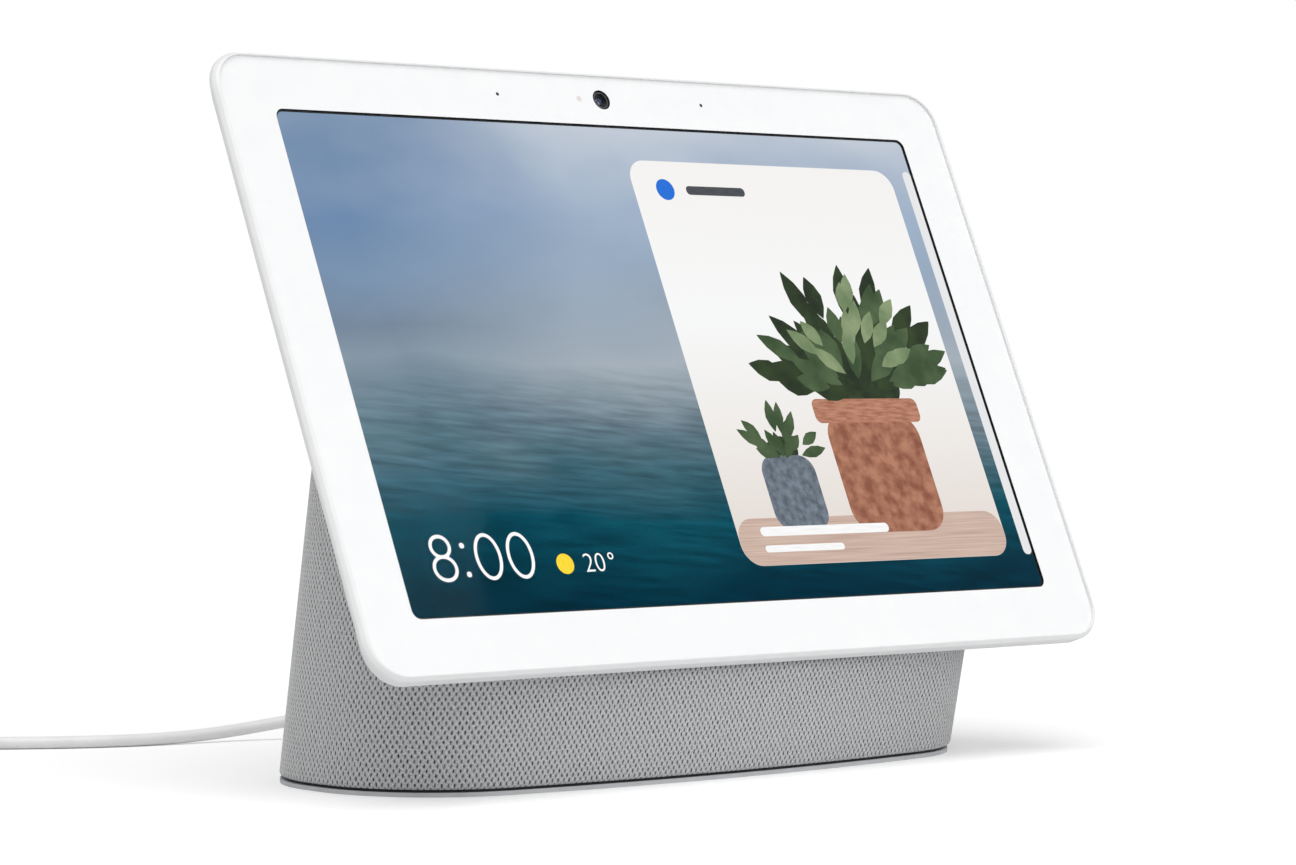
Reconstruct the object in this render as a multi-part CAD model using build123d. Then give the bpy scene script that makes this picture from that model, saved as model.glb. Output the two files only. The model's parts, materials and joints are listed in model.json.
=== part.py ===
from build123d import *
import os
from math import atan, atan2, cos, pi, radians, sin, sqrt, tan

# Smart display: a tilted ten-inch touch screen carried on a fabric-covered speaker base, with its mains lead.
# Millimetres. +X is to the right of somebody facing the screen, +Y runs to the back, +Z is up.
# The origin is the centre of the base's footprint, on the surface that the base stands on.

# ---- driving dimensions: display head ----
HEAD_W = 250.1                # width of the head
HEAD_H = 166.0                # height of the head, along the tilted face
HEAD_T = 5.0                  # thickness of the head
TILT = 24.35                  # the face leans back from upright by this angle, in degrees
FACE_Y = -21.6                # centre of the front face
FACE_Z = 106.95
HEAD_R = 10.5                 # corner radius of the head, seen from the front
SIDE_FLAT = 2.2               # the sides run straight back this far, then taper
TAPER = 2.0                   # how far the left, right and top sides taper in
TAPER_LOW = 0.1               # how far the bottom side tapers in
RIM_FALL_W = 0.95             # the rim falls away over this width
RIM_FALL_D = 1.3              # and down to this depth
RIM_ROUND = 1.0               # rounding of that fall's two edges
BACK_ROUND = 0.5              # rounding of the head's back edge
RIM_W = 1.85                  # rim beside the glass, left and right
RIM_H = 1.15                  # rim above and below the glass
GLASS_R = 9.0                 # corner radius of the glass
GLASS_T = 0.8
GLASS_GAP = 0.15              # slit round the glass
MASK_T = 0.1                  # printed border film behind the glass
ADHESIVE_T = 0.3
WALL_T = 1.2                  # back wall of the rear housing
LEDGE_W = 2.35                # ledge that the glass is bonded to
BACK_CORNER = 1.0             # the back's corner radius is this much smaller than the front's

# ---- driving dimensions: screen ----
SCREEN_W = 216.7              # lit picture
SCREEN_H = 135.4
SCREEN_R = 2.5
CELL_MARGIN = 4.0             # the panel reaches this far past the picture on each side
CELL_T = 1.0
BACKLIGHT_T = 1.4
SHEET = 0.3                   # sheet metal of the display frame and of the shield cans
FIT = 0.1                     # gap between pieces that lie against each other

# ---- driving dimensions: camera and microphones, on one line above the picture ----
SENSOR_Q = 75.2               # height of that line above the middle of the face
CAMERA_WINDOW_R = 2.85
CAMERA_R = 2.5
MIC_X = 35.3
MIC_HOLE_R = 0.5
LIGHT_X = -7.8
LIGHT_R = 0.8
SENSOR_BOARD_W = 84.0
SENSOR_BOARD_H = 6.4
SENSOR_BOARD_T = 0.6
SENSOR_BOARD_DEPTH = 2.0      # front of the board, below the face
CAMERA_W = 7.0
CAMERA_H = 5.8
CAMERA_Q = -0.4               # the camera's housing sits this far above its lens
LENS_D = 1.1                  # depth of the lens barrel
LENS_LIP = 0.3                # the barrel starts this far below the camera's front
LENS_FIT = 0.05
LENS_RIM = 0.5                # width of the barrel's rim
LENS_DOME_R = 1.2
MIC_T = 0.8
MIC_W = 3.5
MIC_H = 2.7
MIC_GASKET_R = 1.3
ANTENNA_X = (-82, 70)
ANTENNA_W = 32.0
ANTENNA_H = 5.0
ANTENNA_T = 0.4

# ---- driving dimensions: controls on the back ----
ROCKER_X = 117.5
ROCKER_Q = 35.0
ROCKER_L = 29.6
ROCKER_W = 4.3
ROCKER_PROUD = 0.7
ROCKER_PIN_R = 0.5
ROCKER_PIN_FIT = 0.05
ROCKER_PIN_L = ROCKER_W + 3.0
KEY_FIT = 0.2                 # slit round the rocker and round the slider
ROCKER_DEPTH = 3.35           # depth of the pivot below the face
SWITCH_Q = 10.5               # each volume switch lies this far from the pivot
VOLUME_BOARD_DEPTH = 1.6
VOLUME_BOARD_T = 0.6
SWITCH_T = 0.8                # a switch stands this high on the board, with its dome
SWITCH_DOME = 0.25
SLIDER_X = 20.0
SLIDER_Q = 77.3
SLIDER_L = 7.6
SLIDER_H = 3.0
SLIDER_PROUD = 0.5
SLIDER_TRAVEL = 3.0

# ---- driving dimensions: base ----
BASE_HALF_W = 102.1           # footprint, half width and half depth
BASE_HALF_D = 44.5
FRONT_R = 470.0               # radius of the front and back of the footprint
CORNER_R = 37.0
SIDE_R = 167.0
LEAN = 0.2                    # the base leans forward by this much for each mm of height
GROWTH = 0.0108               # and grows outward by this much
BASE_TOP = 190.0              # height that the base is drawn to before the head's back cuts it
FABRIC_T = 1.2
FABRIC_LOW = 1.8              # height of the fabric's lower edge
FABRIC_ROUND = 1.1
FABRIC_TUCK = 8.0             # the fabric turns in under the shell by this much
FABRIC_GAP = 0.3              # between the fabric and the back of the head
SHELL_T = 2.5
FOOT_T = 1.1
FOOT_INSET = 0.4
PLATE_INSET = 1.6
SHELL_LOW = FABRIC_LOW + FABRIC_T

# ---- driving dimensions: screws ----
SCREW_R = 1.2
SCREW_FIT = 0.05
BOSS_R = 3.0
PLATE_SCREWS = [(sx * 78, sy * 24) for sx in (-1, 1) for sy in (-1, 1)]
PLATE_SCREW_L = 10.0
PLATE_SCREW_HEAD_R = 2.4
PLATE_SCREW_HEAD_T = 1.0
BOARD_SCREW_L = 7.0
BOARD_SCREW_HEAD_R = 2.2
BOARD_SCREW_HEAD_T = 1.4
BOARD_SCREW_FIT = 0.2
HEAD_SCREWS = [(sx * 74, q) for sx in (-1, 1) for q in (-42, 30)]
HEAD_SCREW_HEAD_R = 4.0
HEAD_SCREW_HEAD_T = 1.8

# ---- driving dimensions: electronics ----
BOARD_W = 124.0
BOARD_H = 66.0
BOARD_Q = -10.0
BOARD_T = 1.6
BOARD_STANDOFF = 6.0
BOARD_SCREW_X = 57.0
BOARD_SCREW_Q = 28.0
RIBBON_T = 0.12
RIBBON_W = 24.0
RIBBON_Q = -6.0
SENSOR_RIBBON_X = 27.0
SENSOR_RIBBON_W = 6.0
RIBBON_SLOT_W = 2 * (SENSOR_RIBBON_X + SENSOR_RIBBON_W)
RIBBON_SLOT_H = 4.0
POWER_BOARD_W = 80.0
POWER_BOARD_D = 44.0
POWER_BOARD_LIFT = 1.3
POWER_BOARD_Y = -10.0         # front edge of the power board
POWER_POST_IN = 5.0           # its posts stand this far in from its edges
SHIELDS = [(-27, -12, 44, 36), (28, -16, 38, 30)]   # each shield can: x, q, width, height
SHIELD_H = 2.5
PAD_T = 1.0
CONNECTOR_T = 1.3
CONNECTOR_H = 3.4
DISPLAY_RIBBON_X = -4.0
SPREADER_W = 104.0
SPREADER_H = 50.0
SPREADER_T = 1.5
FIN_H = 2.5
FIN_T = 1.0
FIN_SPACING = 10.0

# ---- driving dimensions: speakers ----
WOOFER_Z = 66.0               # height of the woofer's axis, where it meets the back of the base
WOOFER_R = 38.0
WOOFER_SEAT = 7.0             # depth of its flat seat below the outside of the base
WOOFER_EAR_R = 41.0
WOOFER_GASKET_T = 0.8
WOOFER_FLANGE_T = 1.2
CONE_R = 27.5
FLANGE_BORE_R = 33.0
GASKET_W = 3.0
CONE_T = 0.5
CONE_FRONT = 8.6              # depths below the outside of the base
CONE_BACK = 15.5
BASKET_BACK = 20.0
BASKET_T = 1.0
TOP_PLATE_T = 2.5
MAGNET_T = 5.5
YOKE_T = 2.5
COIL_R = 8.6                  # outside of the voice coil's former
COIL_GAP = 0.4                # magnetic gap outside the coil
MAGNET_R = 22.0
TWEETER_X = 58.0
TWEETER_Z = 15.5
TWEETER_R = 9.0
TWEETER_SEAT = 5.0
TWEETER_DEPTH = 9.0
DOME_R = 6.4

# ---- driving dimensions: power inlet and lead ----
JACK_Z = 11.0
JACK_W = 9.4
JACK_H = 10.2
JACK_D = 14.0
JACK_BORE_R = 3.0
JACK_PIN_R = 1.0
JACK_INSET = 7.1              # the jack's mouth lies this far inside the back of the footprint
JACK_FACE = BASE_HALF_D - JACK_INSET
PLUG_R = 2.75
PLUG_BARREL_L = 9.5
GRIP_R = 5.1
GRIP_L = 27.0
RELIEF_L = 18.0
CORD_R = 1.7
RELIEF_T = 0.7                # wall of a strain relief at its thin end
BEZEL_R = 6.6
BEZEL_FIT = 0.4
COIL_MID_R = 19.0
COIL_BUNDLE_W = 14.0          # eleven turns, stacked four, three and four
COIL_BUNDLE_H = 9.8
COIL_BUNDLE_R = 4.8
COIL_LIFT = 0.8               # the tie runs under the coil
TIE_W = 6.0
TIE_T = 0.8
ADAPTER_L = 58.0
ADAPTER_W = 44.0
ADAPTER_H = 28.0
ADAPTER_R = 6.0
PIN_R = 2.0
PIN_L = 19.0
PIN_SPACING = 19.0

# The lead's route, from the strain relief behind the base to the coil, and from the coil to the adapter.
LEAD_Y = JACK_FACE + GRIP_L + RELIEF_L
ROUTE_OUT = [(0, LEAD_Y, JACK_Z), (-8.5, 102, 8.8), (-25.5, 116, 5.2), (-42, 122.3, 2.6),
             (-60.5, 124, 1.75), (-80, 129.5, 1.7), (-100, 141.5, 1.7), (-131.6, 156, 2.6)]
COIL_CENTRE = (-142.0, 140.1)
ROUTE_IN = [(-142, 159.1, 7.0), (-155.6, 159.4, 9.3), (-167.6, 159.8, 13.2), (-177.6, 160, 14.0)]
ADAPTER_RELIEF_L = 12.0

# ---- frames ----
tilt = radians(TILT)
FACE = Plane(origin=(0, FACE_Y, FACE_Z), x_dir=(1, 0, 0), z_dir=(0, -cos(tilt), sin(tilt)))
rear_lean = atan(LEAN - GROWTH)
REAR = Plane(origin=(0, BASE_HALF_D - (LEAN - GROWTH) * WOOFER_Z, WOOFER_Z),
             x_dir=(1, 0, 0), z_dir=(0, cos(rear_lean), sin(rear_lean)))
glass_half = (HEAD_W / 2 - RIM_W, HEAD_H / 2 - RIM_H)
cell_half = (SCREEN_W / 2 + CELL_MARGIN, SCREEN_H / 2 + CELL_MARGIN / 2)
mask_back = GLASS_T + MASK_T
cell_back = mask_back + CELL_T
backlight_back = cell_back + BACKLIGHT_T
frame_back = backlight_back + SHEET
wall_front = HEAD_T - WALL_T
ledge_depth = mask_back + ADHESIVE_T
shell_inset = FABRIC_T + FIT
front_wall_back = HEAD_T + SHELL_T
board_front = front_wall_back + BOARD_STANDOFF
board_back = board_front + BOARD_T
flange_front = WOOFER_SEAT + WOOFER_GASKET_T
flange_back = flange_front + WOOFER_FLANGE_T
basket_wall_r = WOOFER_R - 2
basket_end = BASKET_BACK + BASKET_T
top_plate_back = basket_end + TOP_PLATE_T
magnet_back = top_plate_back + MAGNET_T
yoke_back = magnet_back + YOKE_T


# ---- helpers ----
def slab(width, height, front, back, radius=0.0, x=0.0, q=0.0):
    """A plate of the head: centred at x, q on the face, from depth front to depth back below it."""
    outline = RectangleRounded(width, height, radius) if radius else Rectangle(width, height)
    return FACE * Pos(x, q, -back) * extrude(outline, back - front)


def post(radius, front, back, x=0.0, q=0.0):
    """A round piece of the head, square to the face, from depth front to depth back below it."""
    return FACE * Pos(x, q, -back) * extrude(Circle(radius), back - front)


def upright(radius, low, high, x=0.0, y=0.0):
    return Pos(x, y, low) * extrude(Circle(radius), high - low)


def behind(depth):
    """All the space that lies deeper than depth below the face."""
    return FACE * Pos(0, 0, -depth - 200) * Box(600, 600, 400)


def base_centres():
    """Centres of the arcs of the footprint's front right quarter: front, corner and side."""
    front = Vector(0, FRONT_R - BASE_HALF_D)
    side = Vector(BASE_HALF_W - SIDE_R, 0)
    to_front, to_side = FRONT_R - CORNER_R, SIDE_R - CORNER_R
    apart = (side - front).length
    along = (to_front**2 - to_side**2 + apart**2) / (2 * apart)
    across = sqrt(to_front**2 - along**2)
    direction = (side - front).normalized()
    corner = front + direction * along + Vector(-direction.Y, direction.X) * across
    return front, corner, side


def base_outline(height, inset):
    """The base's outline at a height, drawn inset inside its outer face."""
    grow = GROWTH * height - inset
    front, corner, side = base_centres()
    to_front = (corner - front).normalized()
    to_side = (corner - side).normalized()
    a = front + to_front * (FRONT_R + grow)
    c = side + to_side * (SIDE_R + grow)
    b = corner + (to_front + to_side).normalized() * (CORNER_R + grow)
    half_w, half_d = BASE_HALF_W + grow, BASE_HALF_D + grow
    edges = [ThreePointArc((-a.X, a.Y), (0, -half_d), (a.X, a.Y)),
             ThreePointArc((a.X, a.Y), (b.X, b.Y), (c.X, c.Y)),
             ThreePointArc((c.X, c.Y), (half_w, 0), (c.X, -c.Y)),
             ThreePointArc((c.X, -c.Y), (b.X, -b.Y), (a.X, -a.Y)),
             ThreePointArc((a.X, -a.Y), (0, half_d), (-a.X, -a.Y)),
             ThreePointArc((-a.X, -a.Y), (-b.X, -b.Y), (-c.X, -c.Y)),
             ThreePointArc((-c.X, -c.Y), (-half_w, 0), (-c.X, c.Y)),
             ThreePointArc((-c.X, c.Y), (-b.X, b.Y), (-a.X, a.Y))]
    return Pos(0, -LEAN * height, height) * make_face(edges)


def base_block(inset, low, high=BASE_TOP):
    return loft([base_outline(low, inset), base_outline(high, inset)], ruled=True)


def base_slice(inset, low, high):
    """A plate of the footprint's shape, with upright sides."""
    return extrude(base_outline(low, inset), high - low, dir=(0, 0, 1))


def front_frame(x, z):
    """The frame of the base's front at x and z, with its Z axis pointing out."""
    turn = atan2(x, FRONT_R)
    lean = atan(LEAN + GROWTH)
    out = Vector(sin(turn) * cos(lean), -cos(turn) * cos(lean), -sin(lean))
    y = -(BASE_HALF_D + GROWTH * z) + FRONT_R * (1 - cos(turn)) - LEAN * z
    return Plane(origin=(x, y, z), x_dir=(cos(turn), sin(turn), 0), z_dir=out)


def ring(frame, outer, inner, near, far):
    """A ring on a speaker's axis, from depth near to depth far below the outside of the base."""
    profile = Circle(outer) - Circle(inner) if inner else Circle(outer)
    return frame * Pos(0, 0, -far) * extrude(profile, far - near)


def turned(frame, points):
    """A round piece on a speaker's axis, from its half section: (radius, depth) points."""
    outline = Plane.XZ * make_face(Polyline(*[(r, -d) for r, d in points], close=True))
    return frame * revolve(outline, Axis.Z)


def cap(frame, radius, depth, rise, thickness):
    """A thin domed cap on a speaker's axis, with its rim at depth and its top rise further out."""
    ball = (radius**2 + rise**2) / (2 * rise)
    shell = Sphere(ball) - Sphere(ball - thickness)
    cut = Pos(0, 0, ball - rise + 2 * ball) * Box(4 * ball, 4 * ball, 4 * ball)
    return frame * Pos(0, 0, -depth - ball + rise) * (shell & cut)


def tube(points, radius):
    """A round cord along the points, with the largest tangent arcs that its runs allow."""
    corners = [Vector(*p) for p in points]
    radii = []
    for before, here, after in zip(corners, corners[1:], corners[2:]):
        turn = radians((here - before).get_angle(after - here))
        run = min((here - before).length, (after - here).length)
        radii.append(0.45 * run / tan(turn / 2))
    path = FilletPolyline(*corners, radius=radii)
    start = Plane(origin=path @ 0, z_dir=path % 0)
    body = sweep(start * Circle(radius), path=path)
    print("cord radii", [round(r, 1) for r in radii], "length", round(path.length, 1),
          "volume ratio", round(body.volume / (path.length * pi * radius**2), 4))
    return body


def save(name, shape):
    shape.label = name
    export_step(shape, os.path.join("parts", name + ".step"))


# ---- head ----
def cover_glass():
    glass = slab(2 * glass_half[0], 2 * glass_half[1], 0, GLASS_T, GLASS_R)
    for x in (-MIC_X, MIC_X):
        glass -= post(MIC_HOLE_R, -1, GLASS_T + 1, x, SENSOR_Q)
    return glass


def border_mask():
    mask = slab(2 * glass_half[0], 2 * glass_half[1], GLASS_T, mask_back, GLASS_R)
    mask -= slab(SCREEN_W, SCREEN_H, GLASS_T - 1, mask_back + 1, SCREEN_R)
    mask -= post(CAMERA_WINDOW_R, GLASS_T - 1, mask_back + 1, 0, SENSOR_Q)
    mask -= post(LIGHT_R, GLASS_T - 1, mask_back + 1, LIGHT_X, SENSOR_Q)
    for x in (-MIC_X, MIC_X):
        mask -= post(MIC_HOLE_R, GLASS_T - 1, mask_back + 1, x, SENSOR_Q)
    return mask


def glass_adhesive():
    outer = slab(2 * glass_half[0] - 0.6, 2 * glass_half[1] - 0.6, mask_back, ledge_depth, GLASS_R - 0.3)
    inset = 2 * LEDGE_W - 0.6
    inner = slab(2 * glass_half[0] - inset, 2 * glass_half[1] - inset, 0, HEAD_T, GLASS_R - LEDGE_W)
    return outer - inner


def lcd_panel():
    return slab(2 * cell_half[0], 2 * cell_half[1], mask_back, cell_back)


def backlight_unit():
    return slab(2 * cell_half[0], 2 * cell_half[1], cell_back, backlight_back)


def lcd_frame():
    width, height = 2 * cell_half[0] + 2 * FIT, 2 * cell_half[1] + 2 * FIT
    tray = slab(width + 2 * SHEET, height + 2 * SHEET, mask_back + 0.3, frame_back)
    return tray - slab(width, height, 0, backlight_back)


def rocker_ears():
    ears = []
    for side in (-1, 1):
        x = ROCKER_X + side * (ROCKER_W / 2 + 1.0)
        ear = slab(1.2, 3.0, ROCKER_DEPTH - 1.0, wall_front, x=x, q=ROCKER_Q)
        ears.append(ear)
    return ears


def rocker_pin(radius, length):
    axis = FACE * Pos(ROCKER_X, ROCKER_Q, -ROCKER_DEPTH) * Rot(0, 90, 0)
    return axis * Cylinder(radius, length)


def rear_housing():
    half_w, half_h = HEAD_W / 2, HEAD_H / 2
    front = slab(HEAD_W, HEAD_H, 0, SIDE_FLAT, HEAD_R)
    outward = Axis((0, 0, 0), FACE.z_dir)
    face = front.faces().sort_by(outward)[-1]
    front = chamfer(face.edges(), length=RIM_FALL_W, length2=RIM_FALL_D, reference=face)
    levels = front.edges().group_by(outward)
    front = fillet(levels[-1] + levels[-3], RIM_ROUND)
    low_w, low_h = HEAD_W - 2 * TAPER, HEAD_H - TAPER - TAPER_LOW
    start = FACE * Pos(0, 0, -SIDE_FLAT) * RectangleRounded(HEAD_W, HEAD_H, HEAD_R)
    back_outline = RectangleRounded(low_w, low_h, HEAD_R - BACK_CORNER)
    end = FACE * Pos(0, (TAPER_LOW - TAPER) / 2, -HEAD_T) * back_outline
    rear = loft([start, end], ruled=True)
    rear = fillet(rear.faces().sort_by(outward)[0].edges(), BACK_ROUND)
    shell = front + rear
    pocket = (2 * (glass_half[0] + GLASS_GAP), 2 * (glass_half[1] + GLASS_GAP))
    shell -= slab(*pocket, -1, ledge_depth, GLASS_R + GLASS_GAP)
    cavity = (2 * (glass_half[0] - LEDGE_W), 2 * (glass_half[1] - LEDGE_W))
    shell -= slab(*cavity, 0, wall_front, GLASS_R - LEDGE_W)
    # volume rocker: slot through the back wall and ears for its pivot
    slot = (ROCKER_W + 2 * KEY_FIT, ROCKER_L + 2 * KEY_FIT)
    shell -= slab(*slot, wall_front - 1, HEAD_T + 1, x=ROCKER_X, q=ROCKER_Q)
    for ear in rocker_ears():
        shell += ear
    shell -= rocker_pin(ROCKER_PIN_R + ROCKER_PIN_FIT, ROCKER_PIN_L + 3)
    # privacy slider: slot through the back wall
    slot = (SLIDER_L + SLIDER_TRAVEL + 3 * KEY_FIT, SLIDER_H + 2 * KEY_FIT)
    shell -= slab(*slot, wall_front - 1, HEAD_T + 1, x=SLIDER_X, q=SLIDER_Q)
    # ribbons: one slot through the back wall
    shell -= slab(RIBBON_SLOT_W, RIBBON_SLOT_H, wall_front - 1, HEAD_T + 1, q=RIBBON_Q)
    # bosses that carry the head on the base
    for x, q in HEAD_SCREWS:
        shell += post(BOSS_R, wall_front + 0.3, front_wall_back - FIT, x, q)
        shell -= post(SCREW_R + SCREW_FIT, wall_front + 0.3, front_wall_back, x, q)
    return shell


def sensor_board():
    """The camera sits in a cut-out in the board's lower edge."""
    back = SENSOR_BOARD_DEPTH + SENSOR_BOARD_T
    board = slab(SENSOR_BOARD_W, SENSOR_BOARD_H, SENSOR_BOARD_DEPTH, back, q=SENSOR_Q)
    notch_h = CAMERA_H + 0.8
    return board - slab(CAMERA_W + 2 * FIT, notch_h, 0, HEAD_T, q=SENSOR_Q + CAMERA_Q - FIT)


def camera_module():
    front = mask_back + FIT
    body = slab(CAMERA_W, CAMERA_H, front, wall_front - FIT, 0.4, q=SENSOR_Q + CAMERA_Q)
    return body - post(CAMERA_R + LENS_FIT, 0, front + LENS_LIP + LENS_D, 0, SENSOR_Q)


def camera_lens():
    front = mask_back + FIT
    near, far = front + LENS_LIP, front + LENS_LIP + LENS_D
    lens = post(CAMERA_R, near, far, 0, SENSOR_Q)
    lens -= post(CAMERA_R - LENS_RIM, 0, near + LENS_LIP, 0, SENSOR_Q)
    ball = 2 * LENS_D
    dome = FACE * Pos(0, SENSOR_Q, -near - 0.1 - ball) * Sphere(ball)
    return lens + (dome & post(LENS_DOME_R, near, far - 0.2, 0, SENSOR_Q))


def light_sensor():
    return slab(2.0, 1.8, SENSOR_BOARD_DEPTH - MIC_T, SENSOR_BOARD_DEPTH, x=LIGHT_X, q=SENSOR_Q)


def microphones():
    pieces = []
    for x in (-MIC_X, MIC_X):
        body = slab(MIC_W, MIC_H, SENSOR_BOARD_DEPTH - MIC_T, SENSOR_BOARD_DEPTH, x=x, q=SENSOR_Q)
        pieces.append(body - post(0.3, 0, SENSOR_BOARD_DEPTH - MIC_T / 2, x, SENSOR_Q))
    return Compound(children=pieces)


def microphone_gaskets():
    pieces = []
    for x in (-MIC_X, MIC_X):
        body = post(MIC_GASKET_R, mask_back, SENSOR_BOARD_DEPTH - MIC_T, x, SENSOR_Q)
        pieces.append(body - post(MIC_HOLE_R + FIT, 0, HEAD_T, x, SENSOR_Q))
    return Compound(children=pieces)


def wifi_antennas():
    near = wall_front - ANTENNA_T
    pieces = [slab(ANTENNA_W, ANTENNA_H, near, wall_front, x=x, q=SENSOR_Q) for x in ANTENNA_X]
    return Compound(children=pieces)


def volume_rocker():
    key = slab(ROCKER_W, ROCKER_L, ROCKER_DEPTH, HEAD_T + ROCKER_PROUD, 0.6, ROCKER_X, ROCKER_Q)
    for side in (-1, 1):
        nub = slab(1.6, 1.6, ROCKER_DEPTH - 0.1, ROCKER_DEPTH + 0.2, x=ROCKER_X, q=ROCKER_Q + side * SWITCH_Q)
        key += nub
    return key + rocker_pin(ROCKER_PIN_R, ROCKER_PIN_L)


def volume_board():
    back = VOLUME_BOARD_DEPTH + VOLUME_BOARD_T
    return slab(6.0, ROCKER_L + 4.4, VOLUME_BOARD_DEPTH, back, x=ROCKER_X - 0.2, q=ROCKER_Q)


def volume_switches():
    pieces = []
    for side in (-1, 1):
        q = ROCKER_Q + side * SWITCH_Q
        near = VOLUME_BOARD_DEPTH + VOLUME_BOARD_T
        far = near + SWITCH_T
        case = slab(3.4, 2.8, near, far - SWITCH_DOME, x=ROCKER_X, q=q)
        pieces.append(case + post(0.8, near, far, ROCKER_X, q))
    return Compound(children=pieces)


def privacy_slider():
    x = SLIDER_X - SLIDER_TRAVEL / 2
    cap_piece = slab(SLIDER_L, SLIDER_H, wall_front - FIT, HEAD_T + SLIDER_PROUD, 0.6, x, SLIDER_Q)
    for step in range(-2, 3):
        near = HEAD_T + SLIDER_PROUD - 0.25
        cap_piece -= slab(0.5, SLIDER_H - 0.8, near, HEAD_T + 2, x=x + 1.2 * step, q=SLIDER_Q)
    flange = slab(SLIDER_L + 1.2, 3.8, wall_front - 0.45, wall_front - 0.05, x=x, q=SLIDER_Q - 0.1)
    peg = slab(1.0, 1.0, wall_front - 0.9, wall_front - 0.3, x=x, q=SLIDER_Q - 0.8)
    return cap_piece + flange + peg


def privacy_switch():
    front = SENSOR_BOARD_DEPTH + SENSOR_BOARD_T
    body = slab(9.0, 3.0, front, wall_front - 0.5, x=SLIDER_X, q=SLIDER_Q - 0.8)
    return body - slab(1.3 + SLIDER_TRAVEL, 1.3, front + 0.2, HEAD_T, x=SLIDER_X, q=SLIDER_Q - 0.8)


def ribbon(x, width, top_q, top_depth):
    """A flat flex: behind the display frame, then back through the slot to the main board."""
    near = frame_back + 0.04
    flat = slab(width, top_q - RIBBON_Q, near, near + RIBBON_T, x=x, q=(top_q + RIBBON_Q) / 2)
    drop = slab(width, RIBBON_T, near, board_front - CONNECTOR_T, x=x, q=RIBBON_Q + RIBBON_T / 2)
    piece = flat + drop
    if top_depth:
        piece += slab(width, RIBBON_T, top_depth, near + RIBBON_T, x=x, q=top_q - RIBBON_T / 2)
    return piece


def head_screws():
    pieces = []
    for x, q in HEAD_SCREWS:
        top = front_wall_back + HEAD_SCREW_HEAD_T
        head = post(HEAD_SCREW_HEAD_R, front_wall_back, top, x, q)
        head -= FACE * Pos(x, q, -top) * extrude(RegularPolygon(1.2, 6), 1.0)
        pieces.append(head + post(SCREW_R, wall_front + 0.5, front_wall_back, x, q))
    return Compound(children=pieces)


def board_screw_places():
    places = [(BOARD_SCREW_X, BOARD_SCREW_Q), (BOARD_SCREW_X, -BOARD_SCREW_Q)]
    return [(side * x, BOARD_Q + q) for side in (-1, 1) for x, q in places]


# ---- base ----
def fabric_sleeve():
    outer = base_block(0, FABRIC_LOW)
    outer = fillet(outer.faces().sort_by(Axis.Z)[0].edges(), FABRIC_ROUND)
    outer &= behind(HEAD_T + FABRIC_GAP)
    outer -= base_block(FABRIC_T, SHELL_LOW)
    outer -= base_slice(FABRIC_TUCK, FABRIC_LOW - 1, SHELL_LOW + 1)
    return outer - jack_hole(BEZEL_R + FIT)


def jack_hole(radius):
    return Pos(0, JACK_FACE + 6, JACK_Z) * Rot(90, 0, 0) * Cylinder(radius, 14)


def seat_ring(frame, outer, seat):
    """A raised ring inside the wall, as far in as the flat seat."""
    return ring(frame, outer, 0, 0, seat)


def woofer_ears(radius, near, far):
    pieces = []
    for angle in (45, 135, 225, 315):
        x, y = WOOFER_EAR_R * cos(radians(angle)), WOOFER_EAR_R * sin(radians(angle))
        pieces.append(REAR * Pos(x, y, -far) * extrude(Circle(radius), far - near))
    return pieces


def tweeter_frames():
    return [front_frame(side * TWEETER_X, TWEETER_Z) for side in (-1, 1)]


def base_shell():
    outer = base_block(shell_inset, SHELL_LOW) & behind(HEAD_T)
    inner = base_block(shell_inset + SHELL_T, SHELL_LOW) & behind(front_wall_back)
    # everything that stands inside is first cut to the shell's outside, so it merges with the wall
    inside = seat_ring(REAR, WOOFER_R + 5, WOOFER_SEAT)
    for ear in woofer_ears(4.5, 0, WOOFER_SEAT):
        inside += ear
    for frame in tweeter_frames():
        inside += ring(frame, TWEETER_R + 1.5, 0, 0, TWEETER_SEAT)
    for x, y in PLATE_SCREWS:
        inside += upright(BOSS_R + 0.8, SHELL_LOW, SHELL_LOW + PLATE_SCREW_L + 3, x, y)
        web = (BASE_HALF_D - abs(y) + 6)
        inside += Pos(x, y + (web / 2 if y > 0 else -web / 2), SHELL_LOW + 5) * Box(2, web, 10)
    for x, q in board_screw_places():
        inside += post(BOSS_R, HEAD_T, board_front, x, q)
    shell = (outer - inner) + (inside & outer)
    # openings: woofer with two bars, tweeters, jack, ribbons, screws
    opening = ring(REAR, WOOFER_R - 2, 0, -5, WOOFER_SEAT + 1)
    bars = REAR * Pos(-12, 0, 0) * Box(2, 90, 7.6) + REAR * Pos(12, 0, 0) * Box(2, 90, 7.6)
    shell -= opening - bars
    for frame in tweeter_frames():
        shell -= ring(frame, TWEETER_R - 1.8, 0, -5, TWEETER_SEAT + 1)
    shell -= jack_hole(BEZEL_R + FIT)
    shell -= slab(RIBBON_SLOT_W, RIBBON_SLOT_H, HEAD_T - 1, front_wall_back + 1, q=RIBBON_Q)
    for x, q in HEAD_SCREWS:
        shell -= post(BOSS_R + 0.2, HEAD_T - 1, front_wall_back + 1, x, q)
    for x, y in PLATE_SCREWS:
        shell -= upright(SCREW_R + SCREW_FIT, SHELL_LOW - 1, SHELL_LOW + PLATE_SCREW_L, x, y)
    for x, q in board_screw_places():
        shell -= post(SCREW_R + SCREW_FIT, HEAD_T + 1, board_front + 1, x, q)
    for ear in woofer_ears(SCREW_R + SCREW_FIT, WOOFER_SEAT - 3.5, WOOFER_SEAT + 1):
        shell -= ear
    return shell


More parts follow.
